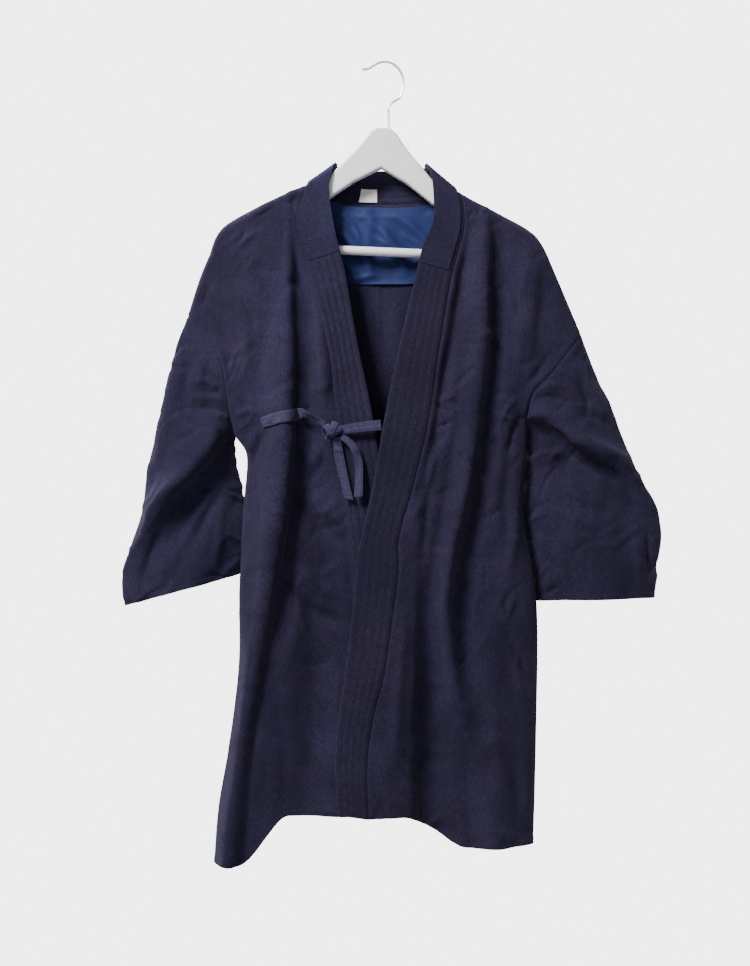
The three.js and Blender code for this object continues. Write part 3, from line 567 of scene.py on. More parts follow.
def newGroup(name, inputs, outputs):
    group = bpy.data.node_groups.new(name, "ShaderNodeTree")
    for label, kind, value in inputs:
        socket = group.interface.new_socket(label, in_out="INPUT", socket_type=kind)
        if value is not None:
            socket.default_value = value
    for label in outputs:
        group.interface.new_socket(label, in_out="OUTPUT", socket_type="NodeSocketFloat")
    return group, group.nodes.new("NodeGroupInput").outputs, group.nodes.new("NodeGroupOutput")


# Rice-grain weave: staggered short floats, each a little off its place
def riceGrainGroup():
    group, given, end = newGroup(
        "riceGrain",
        [("Place", "NodeSocketVector", None), ("Grain Width", "NodeSocketFloat", 0.0017),
         ("Grain Length", "NodeSocketFloat", 0.0030), ("Stray", "NodeSocketFloat", 0.0004)], ["Grain"])
    stray = addNode(group, "ShaderNodeTexNoise", {"Scale": 420, "Detail": 2, "Vector": given["Place"]},
                    noise_dimensions="2D")
    parts = addNode(group, "ShaderNodeSeparateXYZ", {0: given["Place"]})
    drift = compute(group, "MULTIPLY", compute(group, "SUBTRACT", stray.outputs[0], 0.5), given["Stray"])
    x = compute(group, "ADD", parts.outputs[0], drift)
    y = compute(group, "ADD", parts.outputs[1], drift)
    column = compute(group, "DIVIDE", x, given["Grain Width"])
    shift = compute(group, "MULTIPLY", compute(group, "MODULO", compute(group, "FLOOR", column), 2), 0.5)
    row = compute(group, "ADD", compute(group, "DIVIDE", y, given["Grain Length"]), shift)
    waves = [compute(group, "SINE", compute(group, "MULTIPLY", compute(group, "FRACT", at), math.pi))
             for at in (column, row)]
    grain = compute(group, "MULTIPLY", waves[0], compute(group, "POWER", waves[1], 0.6))
    feed(group, end, {"Grain": grain})
    return group


# Uneven yarn: short thick stretches that run along and across the cloth
def slubGroup():
    group, given, end = newGroup("slub", [("Place", "NodeSocketVector", None)], ["Slub"])
    yarns = []
    for scale in ((150, 620, 1), (760, 120, 1)):
        stretch = addNode(group, "ShaderNodeMapping", {"Scale": scale, "Vector": given["Place"]})
        yarn = addNode(group, "ShaderNodeTexNoise",
                       {"Scale": 1, "Detail": 4, "Roughness": 0.65, "Vector": stretch.outputs[0]},
                       noise_dimensions="2D")
        yarns.append(compute(group, "SUBTRACT", yarn.outputs[0], 0.5))
    feed(group, end, {"Slub": compute(group, "ADD", *yarns)})
    return group


# Fading and soiling in broad soft patches, and a mask for cloth that has faded to a bluer shade
def fadingGroup():
    group, given, end = newGroup(
        "fading", [("Size", "NodeSocketFloat", 14.0), ("Strength", "NodeSocketFloat", 1.0)], ["Fade", "Tint"])
    place = addNode(group, "ShaderNodeTexCoord").outputs["Object"]
    broad = addNode(group, "ShaderNodeTexNoise",
                    {"Scale": given["Size"], "Detail": 5, "Roughness": 0.6, "Vector": place})
    centred = compute(group, "SUBTRACT", broad.outputs[0], 0.5)
    bluer = addNode(group, "ShaderNodeTexNoise", {"Scale": 6, "Detail": 6, "Roughness": 0.7, "Vector": place})
    mask = addNode(group, "ShaderNodeMapRange",
                   {"From Min": 0.42, "From Max": 0.66, "Value": bluer.outputs[0]})
    faded = compute(group, "MULTIPLY", centred, given["Strength"])
    feed(group, end, {"Fade": faded, "Tint": mask.outputs[0]})
    return group


def colourRamp(tree, factor, stops):
    ramp = addNode(tree, "ShaderNodeValToRGB", {0: factor})
    elements = ramp.color_ramp.elements
    for element, (at, colour) in zip(elements, (stops[0], stops[-1])):
        element.position, element.color = at, (*colour, 1)
    for at, colour in stops[1:-1]:
        elements.new(at).color = (*colour, 1)
    return ramp.outputs[0]


def newMaterial(name):
    material = bpy.data.materials.new(name)
    material.use_nodes = True
    return material, material.node_tree, material.node_tree.nodes["Principled BSDF"]


def clothMaterial(name, look, groups):
    material, tree, shader = newMaterial(name)
    uv = addNode(tree, "ShaderNodeUVMap", uv_map="cloth").outputs[0]
    weave = addNode(tree, "ShaderNodeGroup", {"Place": uv, "Grain Width": look["grainWidth"],
                                              "Grain Length": look["grainLength"], "Stray": look["stray"]},
                    node_tree=groups["grain"]).outputs["Grain"]
    fade = addNode(tree, "ShaderNodeGroup", {"Size": look["fadeSize"], "Strength": look["fade"]},
                   node_tree=groups["fading"]).outputs
    slub = addNode(tree, "ShaderNodeGroup", {"Place": uv}, node_tree=groups["slub"]).outputs[0]
    fuzz = addNode(tree, "ShaderNodeTexNoise", {"Scale": 900, "Detail": 3, "Vector": uv},
                   noise_dimensions="2D").outputs[0]
    level = compute(tree, "MULTIPLY_ADD", weave, look["contrast"], 0.5 - look["contrast"] / 2)
    level = compute(tree, "ADD", level, fade["Fade"])
    level = compute(tree, "ADD", level, compute(tree, "MULTIPLY_ADD", fuzz, 0.5, -0.25))
    level = compute(tree, "ADD", level, compute(tree, "MULTIPLY", slub, look["slub"]))
    tinted = addNode(tree, "ShaderNodeMix",
                     {"A": colourRamp(tree, level, look["colours"]), "B": (*look["tint"], 1),
                      "Factor": fade["Tint"]}, data_type="RGBA", blend_type="MULTIPLY")
    height = compute(tree, "MULTIPLY_ADD", weave, 0.35, compute(tree, "MULTIPLY", fuzz, 0.35))
    height = compute(tree, "MULTIPLY_ADD", slub, 1.1, height)
    bump = addNode(tree, "ShaderNodeBump",
                   {"Strength": look["bump"], "Distance": look["relief"], "Height": height})
    feed(tree, shader, {"Roughness": look["rough"], "Sheen Weight": look["sheen"], "Sheen Roughness": 0.45,
                        "Sheen Tint": (*look["sheenTint"], 1), "Specular IOR Level": look["gloss"],
                        "Base Color": tinted.outputs["Result"], "Normal": bump.outputs[0]})
    return material


def plainMaterial(name, colour, rough, grain, metallic=0.0):
    material, tree, shader = newMaterial(name)
    place = addNode(tree, "ShaderNodeTexCoord").outputs["Object"]
    spots = addNode(tree, "ShaderNodeTexNoise", {"Scale": grain, "Detail": 6, "Vector": place}).outputs[0]
    dark = tuple(c * 0.9 for c in colour)
    shade = colourRamp(tree, spots, [(0.3, dark), (0.65, colour)])
    bump = addNode(tree, "ShaderNodeBump", {"Strength": 0.15, "Distance": 0.0004, "Height": spots})
    feed(tree, shader, {"Metallic": metallic, "Base Color": shade,
                        "Roughness": compute(tree, "MULTIPLY_ADD", spots, 0.16, rough - 0.08),
                        "Normal": bump.outputs[0]})
    return material


groups = {"grain": riceGrainGroup(), "slub": slubGroup(), "fading": fadingGroup()}
navy = {
    "rough": 0.95, "sheen": 0.08, "sheenTint": (0.50, 0.46, 0.70), "gloss": 0.15,
    "grainWidth": 0.0019, "grainLength": 0.0031, "stray": 0.0022, "contrast": 0.10,
    "fade": 0.6, "fadeSize": 9.0, "bump": 0.75, "relief": 0.0006,
    "colours": [(0.0, (0.0058, 0.0043, 0.0124)), (0.45, (0.0156, 0.0121, 0.0300)),
                (0.75, (0.0305, 0.0238, 0.0565)), (1.0, (0.060, 0.0475, 0.102))],
    "tint": (0.80, 0.94, 1.07), "slub": 0.6,
}
quilted = dict(navy, grainWidth=0.0013, grainLength=0.0022, contrast=0.35,
               colours=[(0.0, (0.0054, 0.0040, 0.0114)), (0.5, (0.0146, 0.0113, 0.0278)),
                        (1.0, (0.048, 0.038, 0.083))])
blue = dict(navy, rough=0.7, sheen=0.1, gloss=0.3, contrast=0.12, bump=0.25, relief=0.0003,
            grainWidth=0.0007, grainLength=0.0007, stray=0.0001, fade=0.25, tint=(1, 1, 1), slub=0.12,
            colours=[(0.0, (0.0030, 0.0075, 0.046)), (0.5, (0.0058, 0.0148, 0.084)),
                     (1.0, (0.014, 0.032, 0.145))])
ribbon = dict(navy, rough=0.6, sheen=0.05, gloss=0.3, contrast=0.15, bump=0.3, relief=0.0002,
              grainWidth=0.0006, grainLength=0.0006, stray=0.0001, fade=0.1, tint=(1, 1, 1), slub=0.08,
              colours=[(0.0, (0.62, 0.60, 0.54)), (1.0, (0.84, 0.83, 0.79))])
tapeLook = dict(navy, grainWidth=0.0009, grainLength=0.0012, stray=0.0002, contrast=0.35, bump=0.5,
                relief=0.0003, sheen=0.12, tint=(0.9, 0.95, 1.05),
                colours=[(0.0, (0.016, 0.0140, 0.034)), (0.5, (0.042, 0.0360, 0.076)),
                         (1.0, (0.082, 0.072, 0.138))])
materials = {
    "navy": clothMaterial("navyRiceGrain", navy, groups),
    "tape": clothMaterial("navyTape", tapeLook, groups),
    "quilted": clothMaterial("navyQuilting", quilted, groups),
    "blue": clothMaterial("blueLining", blue, groups),
    "ribbon": clothMaterial("labelRibbon", ribbon, groups),
    "thread": plainMaterial("navyThread", (0.012, 0.010, 0.023), 0.85, 900),
    "paint": plainMaterial("whitePaint", (0.82, 0.83, 0.85), 0.34, 22),
    "wire": plainMaterial("hookWire", (0.80, 0.80, 0.81), 0.3, 220, metallic=0.55),
}
say("materials")


# Body panels and sleeves on fine grids
hemRows = 0.3                   # the last stretch, in sections, which is finer for the hem
fineRows = np.concatenate([np.arange(0, bodyRows - hemRows, 1 / jacket["finerRows"]),
                           np.linspace(bodyRows - hemRows, bodyRows, 15)])
fineFront = np.linspace(0, frontColumns, frontColumns * jacket["finerColumns"] + 1)
backColumns = neckColumns + frontColumns
fineBack = np.linspace(0, backColumns, backColumns * jacket["finerColumns"] + 1)
armLine = fineRows[fineRows <= armRows]
fineRing = np.concatenate([armLine, 2 * armRows - armLine[-2:0:-1]])
sleeveSteps, cuffSteps = 12, 0.4                # steps down a sleeve, and the last stretch of them
cuffAt = sleeveSteps - cuffSteps
fineSteps = np.concatenate([np.linspace(0, cuffAt, 100)[:-1], np.linspace(cuffAt, sleeveSteps, 14)])

towardsViewer, awayFromViewer = (0, -1, 0), (0, 1, 0)
grids = {}
for side in ("right", "left"):
    grids["front_" + side] = makeGrid(frontPoints(side, fineRows, fineFront), towardsViewer)
for side in ("right", "left"):
    grids["back_" + side] = makeGrid(backPoints(side, fineRows, fineBack), awayFromViewer)
for side in ("right", "left"):
    grids["sleeve_" + side] = makeGrid(sleevePoints(side, fineSteps, fineRing), towardsViewer, ring=True)


# The collar takes its seam from the panels that it is sewn to: up the right front, round the neck,
# and down the left front. "section" counts as in the solid: 24 to the right shoulder, 32 to the left.
collar = {
    "wide": 52, "thick": 4.4,
    "ridge": 1.0, "ridges": 5,  # quilting: how high its rows stand, and how many there are
    "ridgeShape": 0.7, "ridgeInside": 0.6,          # under 1 is rounder; share of it on the inner side
    "cells": 60,                # across the band
    "leftShoulder": 32, "pressed": 0.45, "pressedIn": 3,    # flatter quilting past the left shoulder
    "tuckFrom": 9, "tuckTo": 24.5, "tuck": 2.0,     # where the right front's seam sinks in, and how far
    "tuckFade": 4, "tuckShape": 1.3,
    "wave": 0.25, "waves": 2.1,                     # gentle waves along the band
    "edgeRound": 2.0, "edgeFrom": 0.3, "edgeLeast": 0.1,
    "seamExtra": 0.6, "seamReach": 6,               # thin at the seam, full this far from it
    "coverFrom": 19, "coverTo": 37, "coverEdge": 0.1, "coverThick": 1.2, "coverSharp": 5,
    "sectionLength": 42,        # round the neck
}


def collarGrid():
    neckFine = np.arange(1, neckColumns * jacket["finerColumns"]) / jacket["finerColumns"]
    edges = {side: np.stack([read(collarEdge[side], axis, levelOf(fineRows)) for axis in "xyz"], axis=-1)
             for side in collarEdge}
    neckEdges = {side: (lambda column, side=side: np.stack(
        [read(neckline[side], axis, 1 - column / neckColumns) for axis in ("edgeX", "edgeY", "edgeZ")],
        axis=-1)) for side in neckline}
    count = len(neckFine)
    seam = np.concatenate([
        grids["front_right"]["points"][::-1, 0], grids["back_right"]["points"][0, count:0:-1],
        grids["back_right"]["points"][0, :1], grids["back_left"]["points"][0, 1:count + 1],
        grids["front_left"]["points"][:, 0]])
    edge = np.concatenate([
        edges["right"][::-1], neckEdges["right"](neckFine[::-1]), neckEdges["right"](np.zeros(1)),
        neckEdges["left"](neckFine), edges["left"]])
    section = np.concatenate([bodyRows - fineRows[::-1], bodyRows + neckColumns - neckFine[::-1],
                              [bodyRows + neckColumns], bodyRows + neckColumns + neckFine,
                              bodyRows + 2 * neckColumns + fineRows])
    share = np.linspace(0, 1, collar["cells"] + 1)[None, :, None]
    points = seam[:, None] + (edge - seam)[:, None] * share
    grid = makeGrid(points, towardsViewer)
    if np.mean(grid["normals"][:len(fineRows), :, 1]) > 0:      # the right front's part faces the viewer
        grid["normals"] = -grid["normals"]
    return grid, section


# The left sleeve's under edge is drawn in behind the body just below the armpit.
drawnIn = {"x": 191, "z": -496, "wide": 15, "high": 17, "inward": 4.0, "back": 3.0}
under = grids["sleeve_left"]["points"]
pull = np.exp(-((under[..., 0] - drawnIn["x"]) / drawnIn["wide"]) ** 2
              - ((under[..., 2] - drawnIn["z"]) / drawnIn["high"]) ** 2) * smooth(lengthsOf(under)[1] / 12)
under[..., 0] -= pull * drawnIn["inward"]
under[..., 1] += pull * drawnIn["back"]

grids["collar"], section = collarGrid()
joinSeams(list(grids.values()))
say("grids of the panels")


# Each crease has a route in x and z across its panel, a rise (down where negative) and a width.
def creaseList(rows):
    return [{"rise": rise, "width": width, "route": route} for rise, width, route in rows]


creases = {
    "front_right": creaseList([
        (4.2, 14, [(-129, -110), (-128, -350), (-128, -470), (-134, -541), (-146, -606), (-160, -714),
            (-184, -850)]),
        (-8.5, 28, [(-107, -100), (-104, -330), (-103, -470), (-110, -560), (-122, -640), (-138, -760),
            (-160, -870)]),
        (3.6, 13, [(-92, -262), (-88, -380), (-81, -474)]),
        (7.5, 56, [(-136, -480), (-142, -560), (-152, -660), (-164, -770), (-184, -900)]),
        (-8.0, 70, [(-64, -520), (-50, -600), (-46, -700), (-50, -820), (-58, -950)]),
        (-7.0, 17, [(-120, -560), (-104, -602), (-80, -634), (-42, -655)]),
        (4.4, 12, [(-100, -574), (-78, -606), (-48, -628)]),
        (-6.6, 17, [(-138, -690), (-116, -722), (-94, -742), (-50, -760)]),
        (4.2, 13, [(-120, -672), (-98, -700), (-62, -722)]),
        (-6.6, 17, [(-110, -914), (-97, -944), (-82, -971), (-57, -994), (-24, -1012)]),
        (3.2, 15, [(-92, -900), (-72, -950), (-44, -980)]),
        (-4.2, 20, [(-131, -208), (-151, -323), (-173, -437)]),
        (2.8, 10, [(-158, -484), (-174, -500), (-187, -532)]),
        (-2.6, 9, [(-150, -492), (-168, -512), (-180, -548)]),
        (2.2, 8, [(-165, -474), (-184, -470), (-205, -478)]),
        (2.8, 14, [(-176, -640), (-186, -700), (-188, -780)]),
        (-3.0, 15, [(-164, -640), (-170, -720), (-172, -800)]),
        (-3.4, 17, [(-150, -820), (-142, -880), (-136, -960), (-140, -1010)]),
        (3.0, 16, [(-70, -790), (-62, -860), (-64, -940)]),
        (2.4, 14, [(-212, -246), (-190, -268), (-166, -306)]),
        (-2.6, 13, [(-240, -322), (-222, -348), (-206, -392)]),
        (2.0, 12, [(-196, -330), (-186, -380), (-190, -430)]),
        (2.2, 7, [(-84, -512), (-96, -536), (-118, -552)]),
        (-2.4, 7, [(-80, -520), (-88, -546), (-106, -566)]),
        (2.4, 8, [(-62, -590), (-80, -604), (-104, -610)]),
        (-2.2, 7, [(-46, -606), (-62, -622), (-88, -630)]),
        (2.0, 7, [(-150, -566), (-134, -590), (-122, -622)]),
        (-2.2, 8, [(-176, -556), (-164, -590), (-160, -622)]),
        (2.2, 8, [(-140, -700), (-118, -730), (-104, -770)]),
        (2.0, 7, [(-60, -670), (-84, -690), (-112, -694)]),
        (-2.0, 7, [(-70, -800), (-92, -812), (-122, -808)]),
        (2.2, 8, [(-96, -842), (-72, -862), (-46, -868)]),
        (-2.2, 8, [(-172, -880), (-150, -906), (-120, -914)]),
    ]),
    "front_left": creaseList([
        (-6.5, 20, [(112, -208), (106, -262), (88, -377), (74, -440), (63, -520), (52, -600)]),
        (4.0, 15, [(134, -110), (132, -300), (130, -400), (124, -480)]),
        (-5.5, 24, [(160, -100), (154, -340), (146, -470), (136, -548), (124, -605), (110, -668),
            (104, -730), (107, -755), (110, -810), (122, -852), (135, -909), (150, -964), (164, -1012)]),
        (3.0, 14, [(124, -440), (112, -548), (98, -605), (84, -668), (78, -730), (84, -810), (104, -880),
            (124, -950)]),
        (-8.5, 60, [(62, -660), (56, -760), (58, -860), (62, -960), (70, -1060)]),
        (3.0, 15, [(200, -270), (191, -417), (187, -462)]),
        (-3.4, 15, [(178, -250), (170, -360), (168, -450)]),
        (3.4, 12, [(157, -741), (176, -775), (198, -825)]),
        (-3.2, 11, [(160, -762), (176, -796), (194, -846)]),
        (2.6, 10, [(164, -800), (178, -832), (196, -866)]),
        (2.8, 9, [(127, -1020), (148, -1031), (172, -1036)]),
        (3.0, 9, [(190, -450), (208, -434), (230, -404)]),
        (-2.6, 8, [(186, -438), (202, -420), (220, -392)]),
        (-3.4, 15, [(182, -470), (166, -520), (158, -590), (164, -650)]),
        (3.2, 14, [(176, -560), (172, -640), (158, -706)]),
        (-3.0, 12, [(60, -560), (52, -620), (46, -690)]),
        (3.0, 14, [(26, -740), (16, -840), (10, -950)]),
        (-3.0, 16, [(150, -860), (160, -930), (176, -1000)]),
        (3.0, 14, [(186, -900), (188, -960), (186, -1020)]),
        (2.2, 13, [(208, -262), (188, -286), (170, -330)]),
        (2.2, 7, [(176, -452), (160, -470), (148, -500)]),
        (-2.2, 7, [(182, -476), (170, -500), (164, -528)]),
        (2.0, 7, [(60, -590), (82, -604), (100, -604)]),
        (-2.0, 7, [(44, -640), (64, -652), (88, -650)]),
        (2.2, 8, [(130, -700), (150, -722), (160, -760)]),
        (-2.2, 7, [(182, -700), (164, -716), (150, -742)]),
        (2.0, 7, [(40, -820), (62, -836), (84, -836)]),
        (-2.0, 7, [(120, -880), (138, -896), (166, -900)]),
        (2.2, 7, [(30, -900), (52, -922), (76, -928)]),
        (2.0, 7, [(150, -290), (166, -312), (172, -344)]),
    ]),
    "back_right": creaseList([
        (-3.8, 16, [(-203, -495), (-170, -540), (-120, -566)]),
        (-3.6, 17, [(-190, -600), (-150, -650), (-90, -672)]),
        (3.0, 15, [(-184, -570), (-146, -610), (-96, -628)]),
        (3.2, 15, [(-40, -320), (-48, -430), (-44, -560)]),
        (-3.0, 15, [(-64, -330), (-74, -450), (-70, -590)]),
        (2.8, 15, [(-210, -300), (-176, -330), (-140, -382)]),
        (-3.6, 16, [(-150, -830), (-136, -900), (-130, -970)]),
        (3.0, 15, [(-60, -800), (-50, -880), (-54, -960)]),
    ]),
    "back_left": creaseList([
        (-3.8, 16, [(189, -480), (150, -528), (96, -560)]),
        (3.0, 15, [(180, -552), (144, -590), (92, -612)]),
        (-3.2, 17, [(184, -620), (140, -664), (80, -690)]),
        (3.0, 15, [(24, -340), (30, -450), (22, -590)]),
        (-3.2, 16, [(58, -330), (66, -450), (60, -600)]),
        (2.8, 15, [(206, -310), (170, -340), (130, -400)]),
        (-3.6, 17, [(30, -820), (44, -900), (40, -980)]),
        (3.0, 16, [(150, -780), (160, -870), (154, -960)]),
    ]),
    "sleeve_right": creaseList([
        (5.5, 22, [(-206, -476), (-224, -498), (-234, -518), (-243, -537), (-258, -552), (-281, -569),
            (-299, -584), (-314, -602), (-322, -622), (-332, -642)]),
        (2.4, 8, [(-228, -494), (-234, -516), (-243, -537), (-258, -552), (-281, -569), (-299, -584),
            (-314, -602), (-320, -619), (-330, -640), (-346, -668)]),
        (-2.6, 24, [(-212, -530), (-224, -556), (-242, -574), (-262, -588), (-284, -604), (-300, -624),
            (-310, -650), (-326, -684)]),
        (-3.6, 13, [(-262, -402), (-272, -440), (-268, -480)]),
        (3.2, 12, [(-246, -392), (-250, -430), (-246, -476)]),
        (-3.4, 12, [(-216, -566), (-238, -602), (-256, -646)]),
        (2.8, 12, [(-230, -580), (-254, -610), (-276, -660)]),
        (-3.2, 11, [(-300, -630), (-316, -664), (-328, -700)]),
        (2.6, 10, [(-220, -600), (-226, -640), (-230, -680)]),
        (2.6, 13, [(-290, -470), (-300, -520), (-312, -556)]),
        (2.6, 7, [(-212, -462), (-232, -452), (-262, -452)]),
        (-2.8, 8, [(-214, -474), (-236, -466), (-262, -468)]),
        (2.4, 7, [(-216, -444), (-236, -432), (-266, -430)]),
        (-2.4, 7, [(-246, -490), (-262, -504), (-284, -512)]),
        (2.2, 7, [(-300, -560), (-312, -584), (-330, -604)]),
    ]),
    "sleeve_left": creaseList([
        (6.5, 17, [(192, -466), (213, -472), (232, -488), (250, -508), (279, -520), (304, -530),
            (325, -543), (344, -574)]),
        (-12.0, 24, [(186, -492), (206, -492), (226, -506), (246, -528), (272, -541), (298, -550),
            (318, -563), (334, -586), (344, -612)]),
        (-6.0, 34, [(188, -512), (212, -520), (238, -542), (268, -556), (298, -568), (322, -590),
            (338, -622)]),
        (-3.6, 13, [(256, -420), (270, -455), (272, -490)]),
        (3.0, 12, [(272, -428), (288, -462), (290, -494)]),
        (-3.6, 14, [(212, -560), (240, -586), (270, -600), (300, -606), (330, -622)]),
        (3.0, 13, [(216, -590), (246, -614), (290, -628)]),
        (-4.0, 9, [(349, -630), (353, -665), (358, -700)]),
        (2.8, 12, [(226, -620), (236, -660), (242, -706)]),
        (2.6, 9, [(334, -634), (338, -668), (342, -706)]),
        (2.6, 7, [(198, -440), (222, -434), (246, -440)]),
        (-2.8, 8, [(196, -452), (222, -450), (250, -460)]),
        (2.4, 7, [(212, -416), (240, -418), (262, -436)]),
        (-2.4, 7, [(250, -474), (280, -480), (306, -492)]),
        (2.2, 7, [(244, -462), (276, -466), (296, -474)]),
        (-2.2, 7, [(226, -566), (246, -584), (256, -606)]),
        (2.2, 7, [(262, -640), (282, -650), (308, -650)]),
    ]),
}


# Small creases strewn over a panel, slanting either way
small = {"length": (18, 66), "rise": (0.7, 2.3), "width": (4.5, 10)}


def strewnCreases(points, count, seed):
    random = np.random.default_rng(seed)
    flat = points.reshape(-1, 3)
    rows = []
    for i in range(count):
        x, z = flat[random.integers(len(flat))][[0, 2]]
        angle, length = random.normal(0.6 * random.choice([-1, 1]), 0.5), random.uniform(*small["length"])
        bend = random.uniform(-0.22, 0.22) * length
        step = np.array([np.cos(angle), np.sin(angle)]) * length / 2
        side = np.array([-step[1], step[0]]) / (length / 2) * bend
        route = [(x - step[0], z - step[1]), (x + side[0], z + side[1]), (x + step[0], z + step[1])]
        rise = random.uniform(*small["rise"]) * random.choice([-1, 1])
        rows.append((rise, random.uniform(*small["width"]), route))
    return creaseList(rows)


hem = {"stitchAt": 8.0, "past": 0.8, "step": 1.2, "rise": 0.35}     # turnings at the hem and the cuffs
sewnEdge = {"dip": 0.6, "wide": 2.2, "puff": 0.25, "puffAt": 4.5}   # a seam sinks between soft edges
calm = {"sides": 14, "top": 18, "armhole": 16}                      # creases fade this near to a seam
sink = {"front": 0.78, "back": 0.2, "keep": 1.6}                    # share of a sleeve's gap for each wall
wrinkleHeight = 0.95
strewn = {"front_right": 110, "front_left": 100, "back_right": 60, "back_left": 60, "sleeve_right": 64,
          "sleeve_left": 70}


# How far each wall of a sleeve can sink before it nears the other one
def deepestFold(points):
    columns = points.shape[1]
    facing = (columns - np.arange(columns)) % columns
    apart = np.linalg.norm(points - points[:, facing], axis=-1)
    front = np.mean(points[..., 1], axis=0) < np.mean(points[:, facing, 1], axis=0)
    return np.clip(apart * np.where(front, sink["front"], sink["back"]) - sink["keep"], 0.4, 30)


# Raises creases and wrinkles, which fade towards seams, sinks the seams and turns the hem.
def dress(name, grid, seed, seams):
    points, normals = grid["points"], grid["normals"]
    u, v = lengthsOf(points)
    x, z = points[..., 0], points[..., 2]
    rise = creaseRise(creases[name], x, z) + wrinkles(x, z, wrinkleHeight, seed)
    rise = rise + creaseRise(strewnCreases(points, strewn[name], seed + 70), x, z)
    fromTop, fromBottom = v, v[-1:] - v
    fromFirst, fromLast = u, u[:, -1:] - u
    distances = {"top": fromTop, "bottom": fromBottom, "first": fromFirst, "last": fromLast}
    if not grid["ring"]:
        rise = rise * smooth(fromFirst / calm["sides"]) * smooth(fromLast / calm["sides"])
    rise = rise * smooth(fromTop / calm["armhole" if grid["ring"] else "top"])
    grid["unsewn"], grid["before"] = points + normals * rise[..., None], normals
    if grid["ring"]:
        rise = np.maximum(rise, -deepestFold(points))
    for seam in seams:
        away = distances[seam]
        rise = (rise - sewnEdge["dip"] * np.exp(-(away / sewnEdge["wide"]) ** 2)
                + sewnEdge["puff"] * np.exp(-((away - sewnEdge["puffAt"]) / sewnEdge["wide"]) ** 2))
    turning = smooth((hem["stitchAt"] + hem["past"] - distances["bottom"]) / hem["step"])
    groove = np.exp(-(distances["bottom"] - hem["stitchAt"]) ** 2)
    rise = rise + hem["rise"] * (turning - groove)
    grid["points"] = points + normals * rise[..., None]
    middle = normals[points.shape[0] // 2, points.shape[1] // 4]
    grid["normals"] = normalsOf(grid["points"], middle, grid["ring"])
    turned = np.sum(grid["normals"] * normals, axis=-1) < 0
    grid["normals"][turned] *= -1
    grid["uv"] = (u, v)


for seed, (name, grid) in enumerate(list(grids.items())[:6], 3):
    dress(name, grid, seed, ("top",) if grid["ring"] else ("first", "last"))
joinSeams(list(grids.values()))
band = grids.pop("collar")
for name, grid in grids.items():
    finishPiece(closedWall(name + "_cloth", grid, jacket["wall"]), materials["navy"], "navy_cotton", name)
say("panels and sleeves")


def partOfGrid(grid, rows, columns):
    return {"points": grid["points"][rows][:, columns], "normals": grid["normals"][rows][:, columns],
            "ring": False}


# Collar band, quilted in rows along its length
collarCreases = creaseList([
    (-1.2, 5, [(-14, -556), (-6, -558), (-2, -560)]),
    (-1.0, 4, [(-15, -574), (-7, -576), (-3, -578)]),
    (-0.9, 6, [(-38, -706), (-20, -709), (8, -706)]),
    (0.8, 6, [(-66, -330), (-48, -334), (-34, -330)]),
    (0.8, 7, [(-60, -410), (-42, -406), (-24, -408)]),
    (0.7, 6, [(72, -300), (52, -292), (38, -290)]),
    (0.8, 7, [(-30, -880), (-10, -884), (6, -878)]),
])
share = np.linspace(0, 1, collar["cells"] + 1)
bulge = np.sin(math.pi * share)
ridge = collar["ridge"] * np.abs(np.sin(math.pi * collar["ridges"] * share)) ** collar["ridgeShape"]
underCover = (smooth((section - collar["coverFrom"] + collar["coverEdge"]) * collar["coverSharp"])
              * smooth((collar["coverTo"] + collar["coverEdge"] - section) * collar["coverSharp"]))
pastShoulder = smooth((section - collar["leftShoulder"]) / collar["pressedIn"])
flattened = mix(1, collar["pressed"], pastShoulder) * (1 - underCover)
fromBorder = np.minimum(share, 1 - share) * collar["wide"]
fromEdge = np.clip((fromBorder + collar["edgeFrom"]) / collar["edgeRound"], 0, 1)
roundEdge = np.sqrt(np.clip(1 - (1 - fromEdge) ** 2, collar["edgeLeast"], 1))
tucked = (smooth((section - collar["tuckFrom"]) / collar["tuckFade"])
          * smooth((collar["tuckTo"] - section) / collar["tuckFade"]))
bandRise = creaseRise(collarCreases, band["points"][..., 0], band["points"][..., 2])
bandRise = bandRise + collar["wave"] * np.sin(section * collar["waves"])[:, None] * bulge
bandRise = bandRise * bulge ** 0.5 - collar["tuck"] * tucked[:, None] * share ** collar["tuckShape"]
band["points"] = band["points"] + band["normals"] * bandRise[..., None]
fromSeam = smooth(share * collar["wide"] / collar["seamReach"])
seamThick = mix(jacket["wall"] + collar["seamExtra"], collar["thick"], fromSeam)
bandThick = np.where(share < 0.5, seamThick, collar["thick"] * roundEdge)
bandPiece = closedWall("collar_band", band, bandThick[None, :],
                       relief=(ridge * roundEdge)[None, :] * flattened[:, None],
                       innerRelief=(ridge - collar["ridge"])[None, :] * collar["ridgeInside"])
finishPiece(bandPiece, materials["quilted"], "navy_quilting", "collar")

# Cover of the collar round the neck, with a stitched turning at its ends
coverSewing = {"gap": 0.25, "fold": 1.5, "foldFrom": 0.4, "stitchAt": 5, "stitchWide": 1.2, "dip": 0.5}
coverRows = (section >= collar["coverFrom"]) & (section <= collar["coverTo"])
coverColumns = share >= collar["coverEdge"] - 1e-6
cover = partOfGrid(band, coverRows, coverColumns)
fromEnds = np.minimum(section[coverRows] - collar["coverFrom"], collar["coverTo"] - section[coverRows])
fromEnds = fromEnds * collar["sectionLength"]
fromSide = (share[coverColumns] - collar["coverEdge"]) * collar["wide"]
fromFold = np.minimum(fromEnds[:, None] + coverSewing["foldFrom"], fromSide + coverSewing["foldFrom"])
coverFold = smooth(fromFold / coverSewing["fold"])
coverLift = collar["thick"] / 2 + coverSewing["gap"] + collar["coverThick"] / 2
fromStitch = (fromEnds - coverSewing["stitchAt"]) / coverSewing["stitchWide"]
coverStitch = -coverSewing["dip"] * np.exp(-fromStitch ** 2)[:, None] * np.ones_like(fromSide)
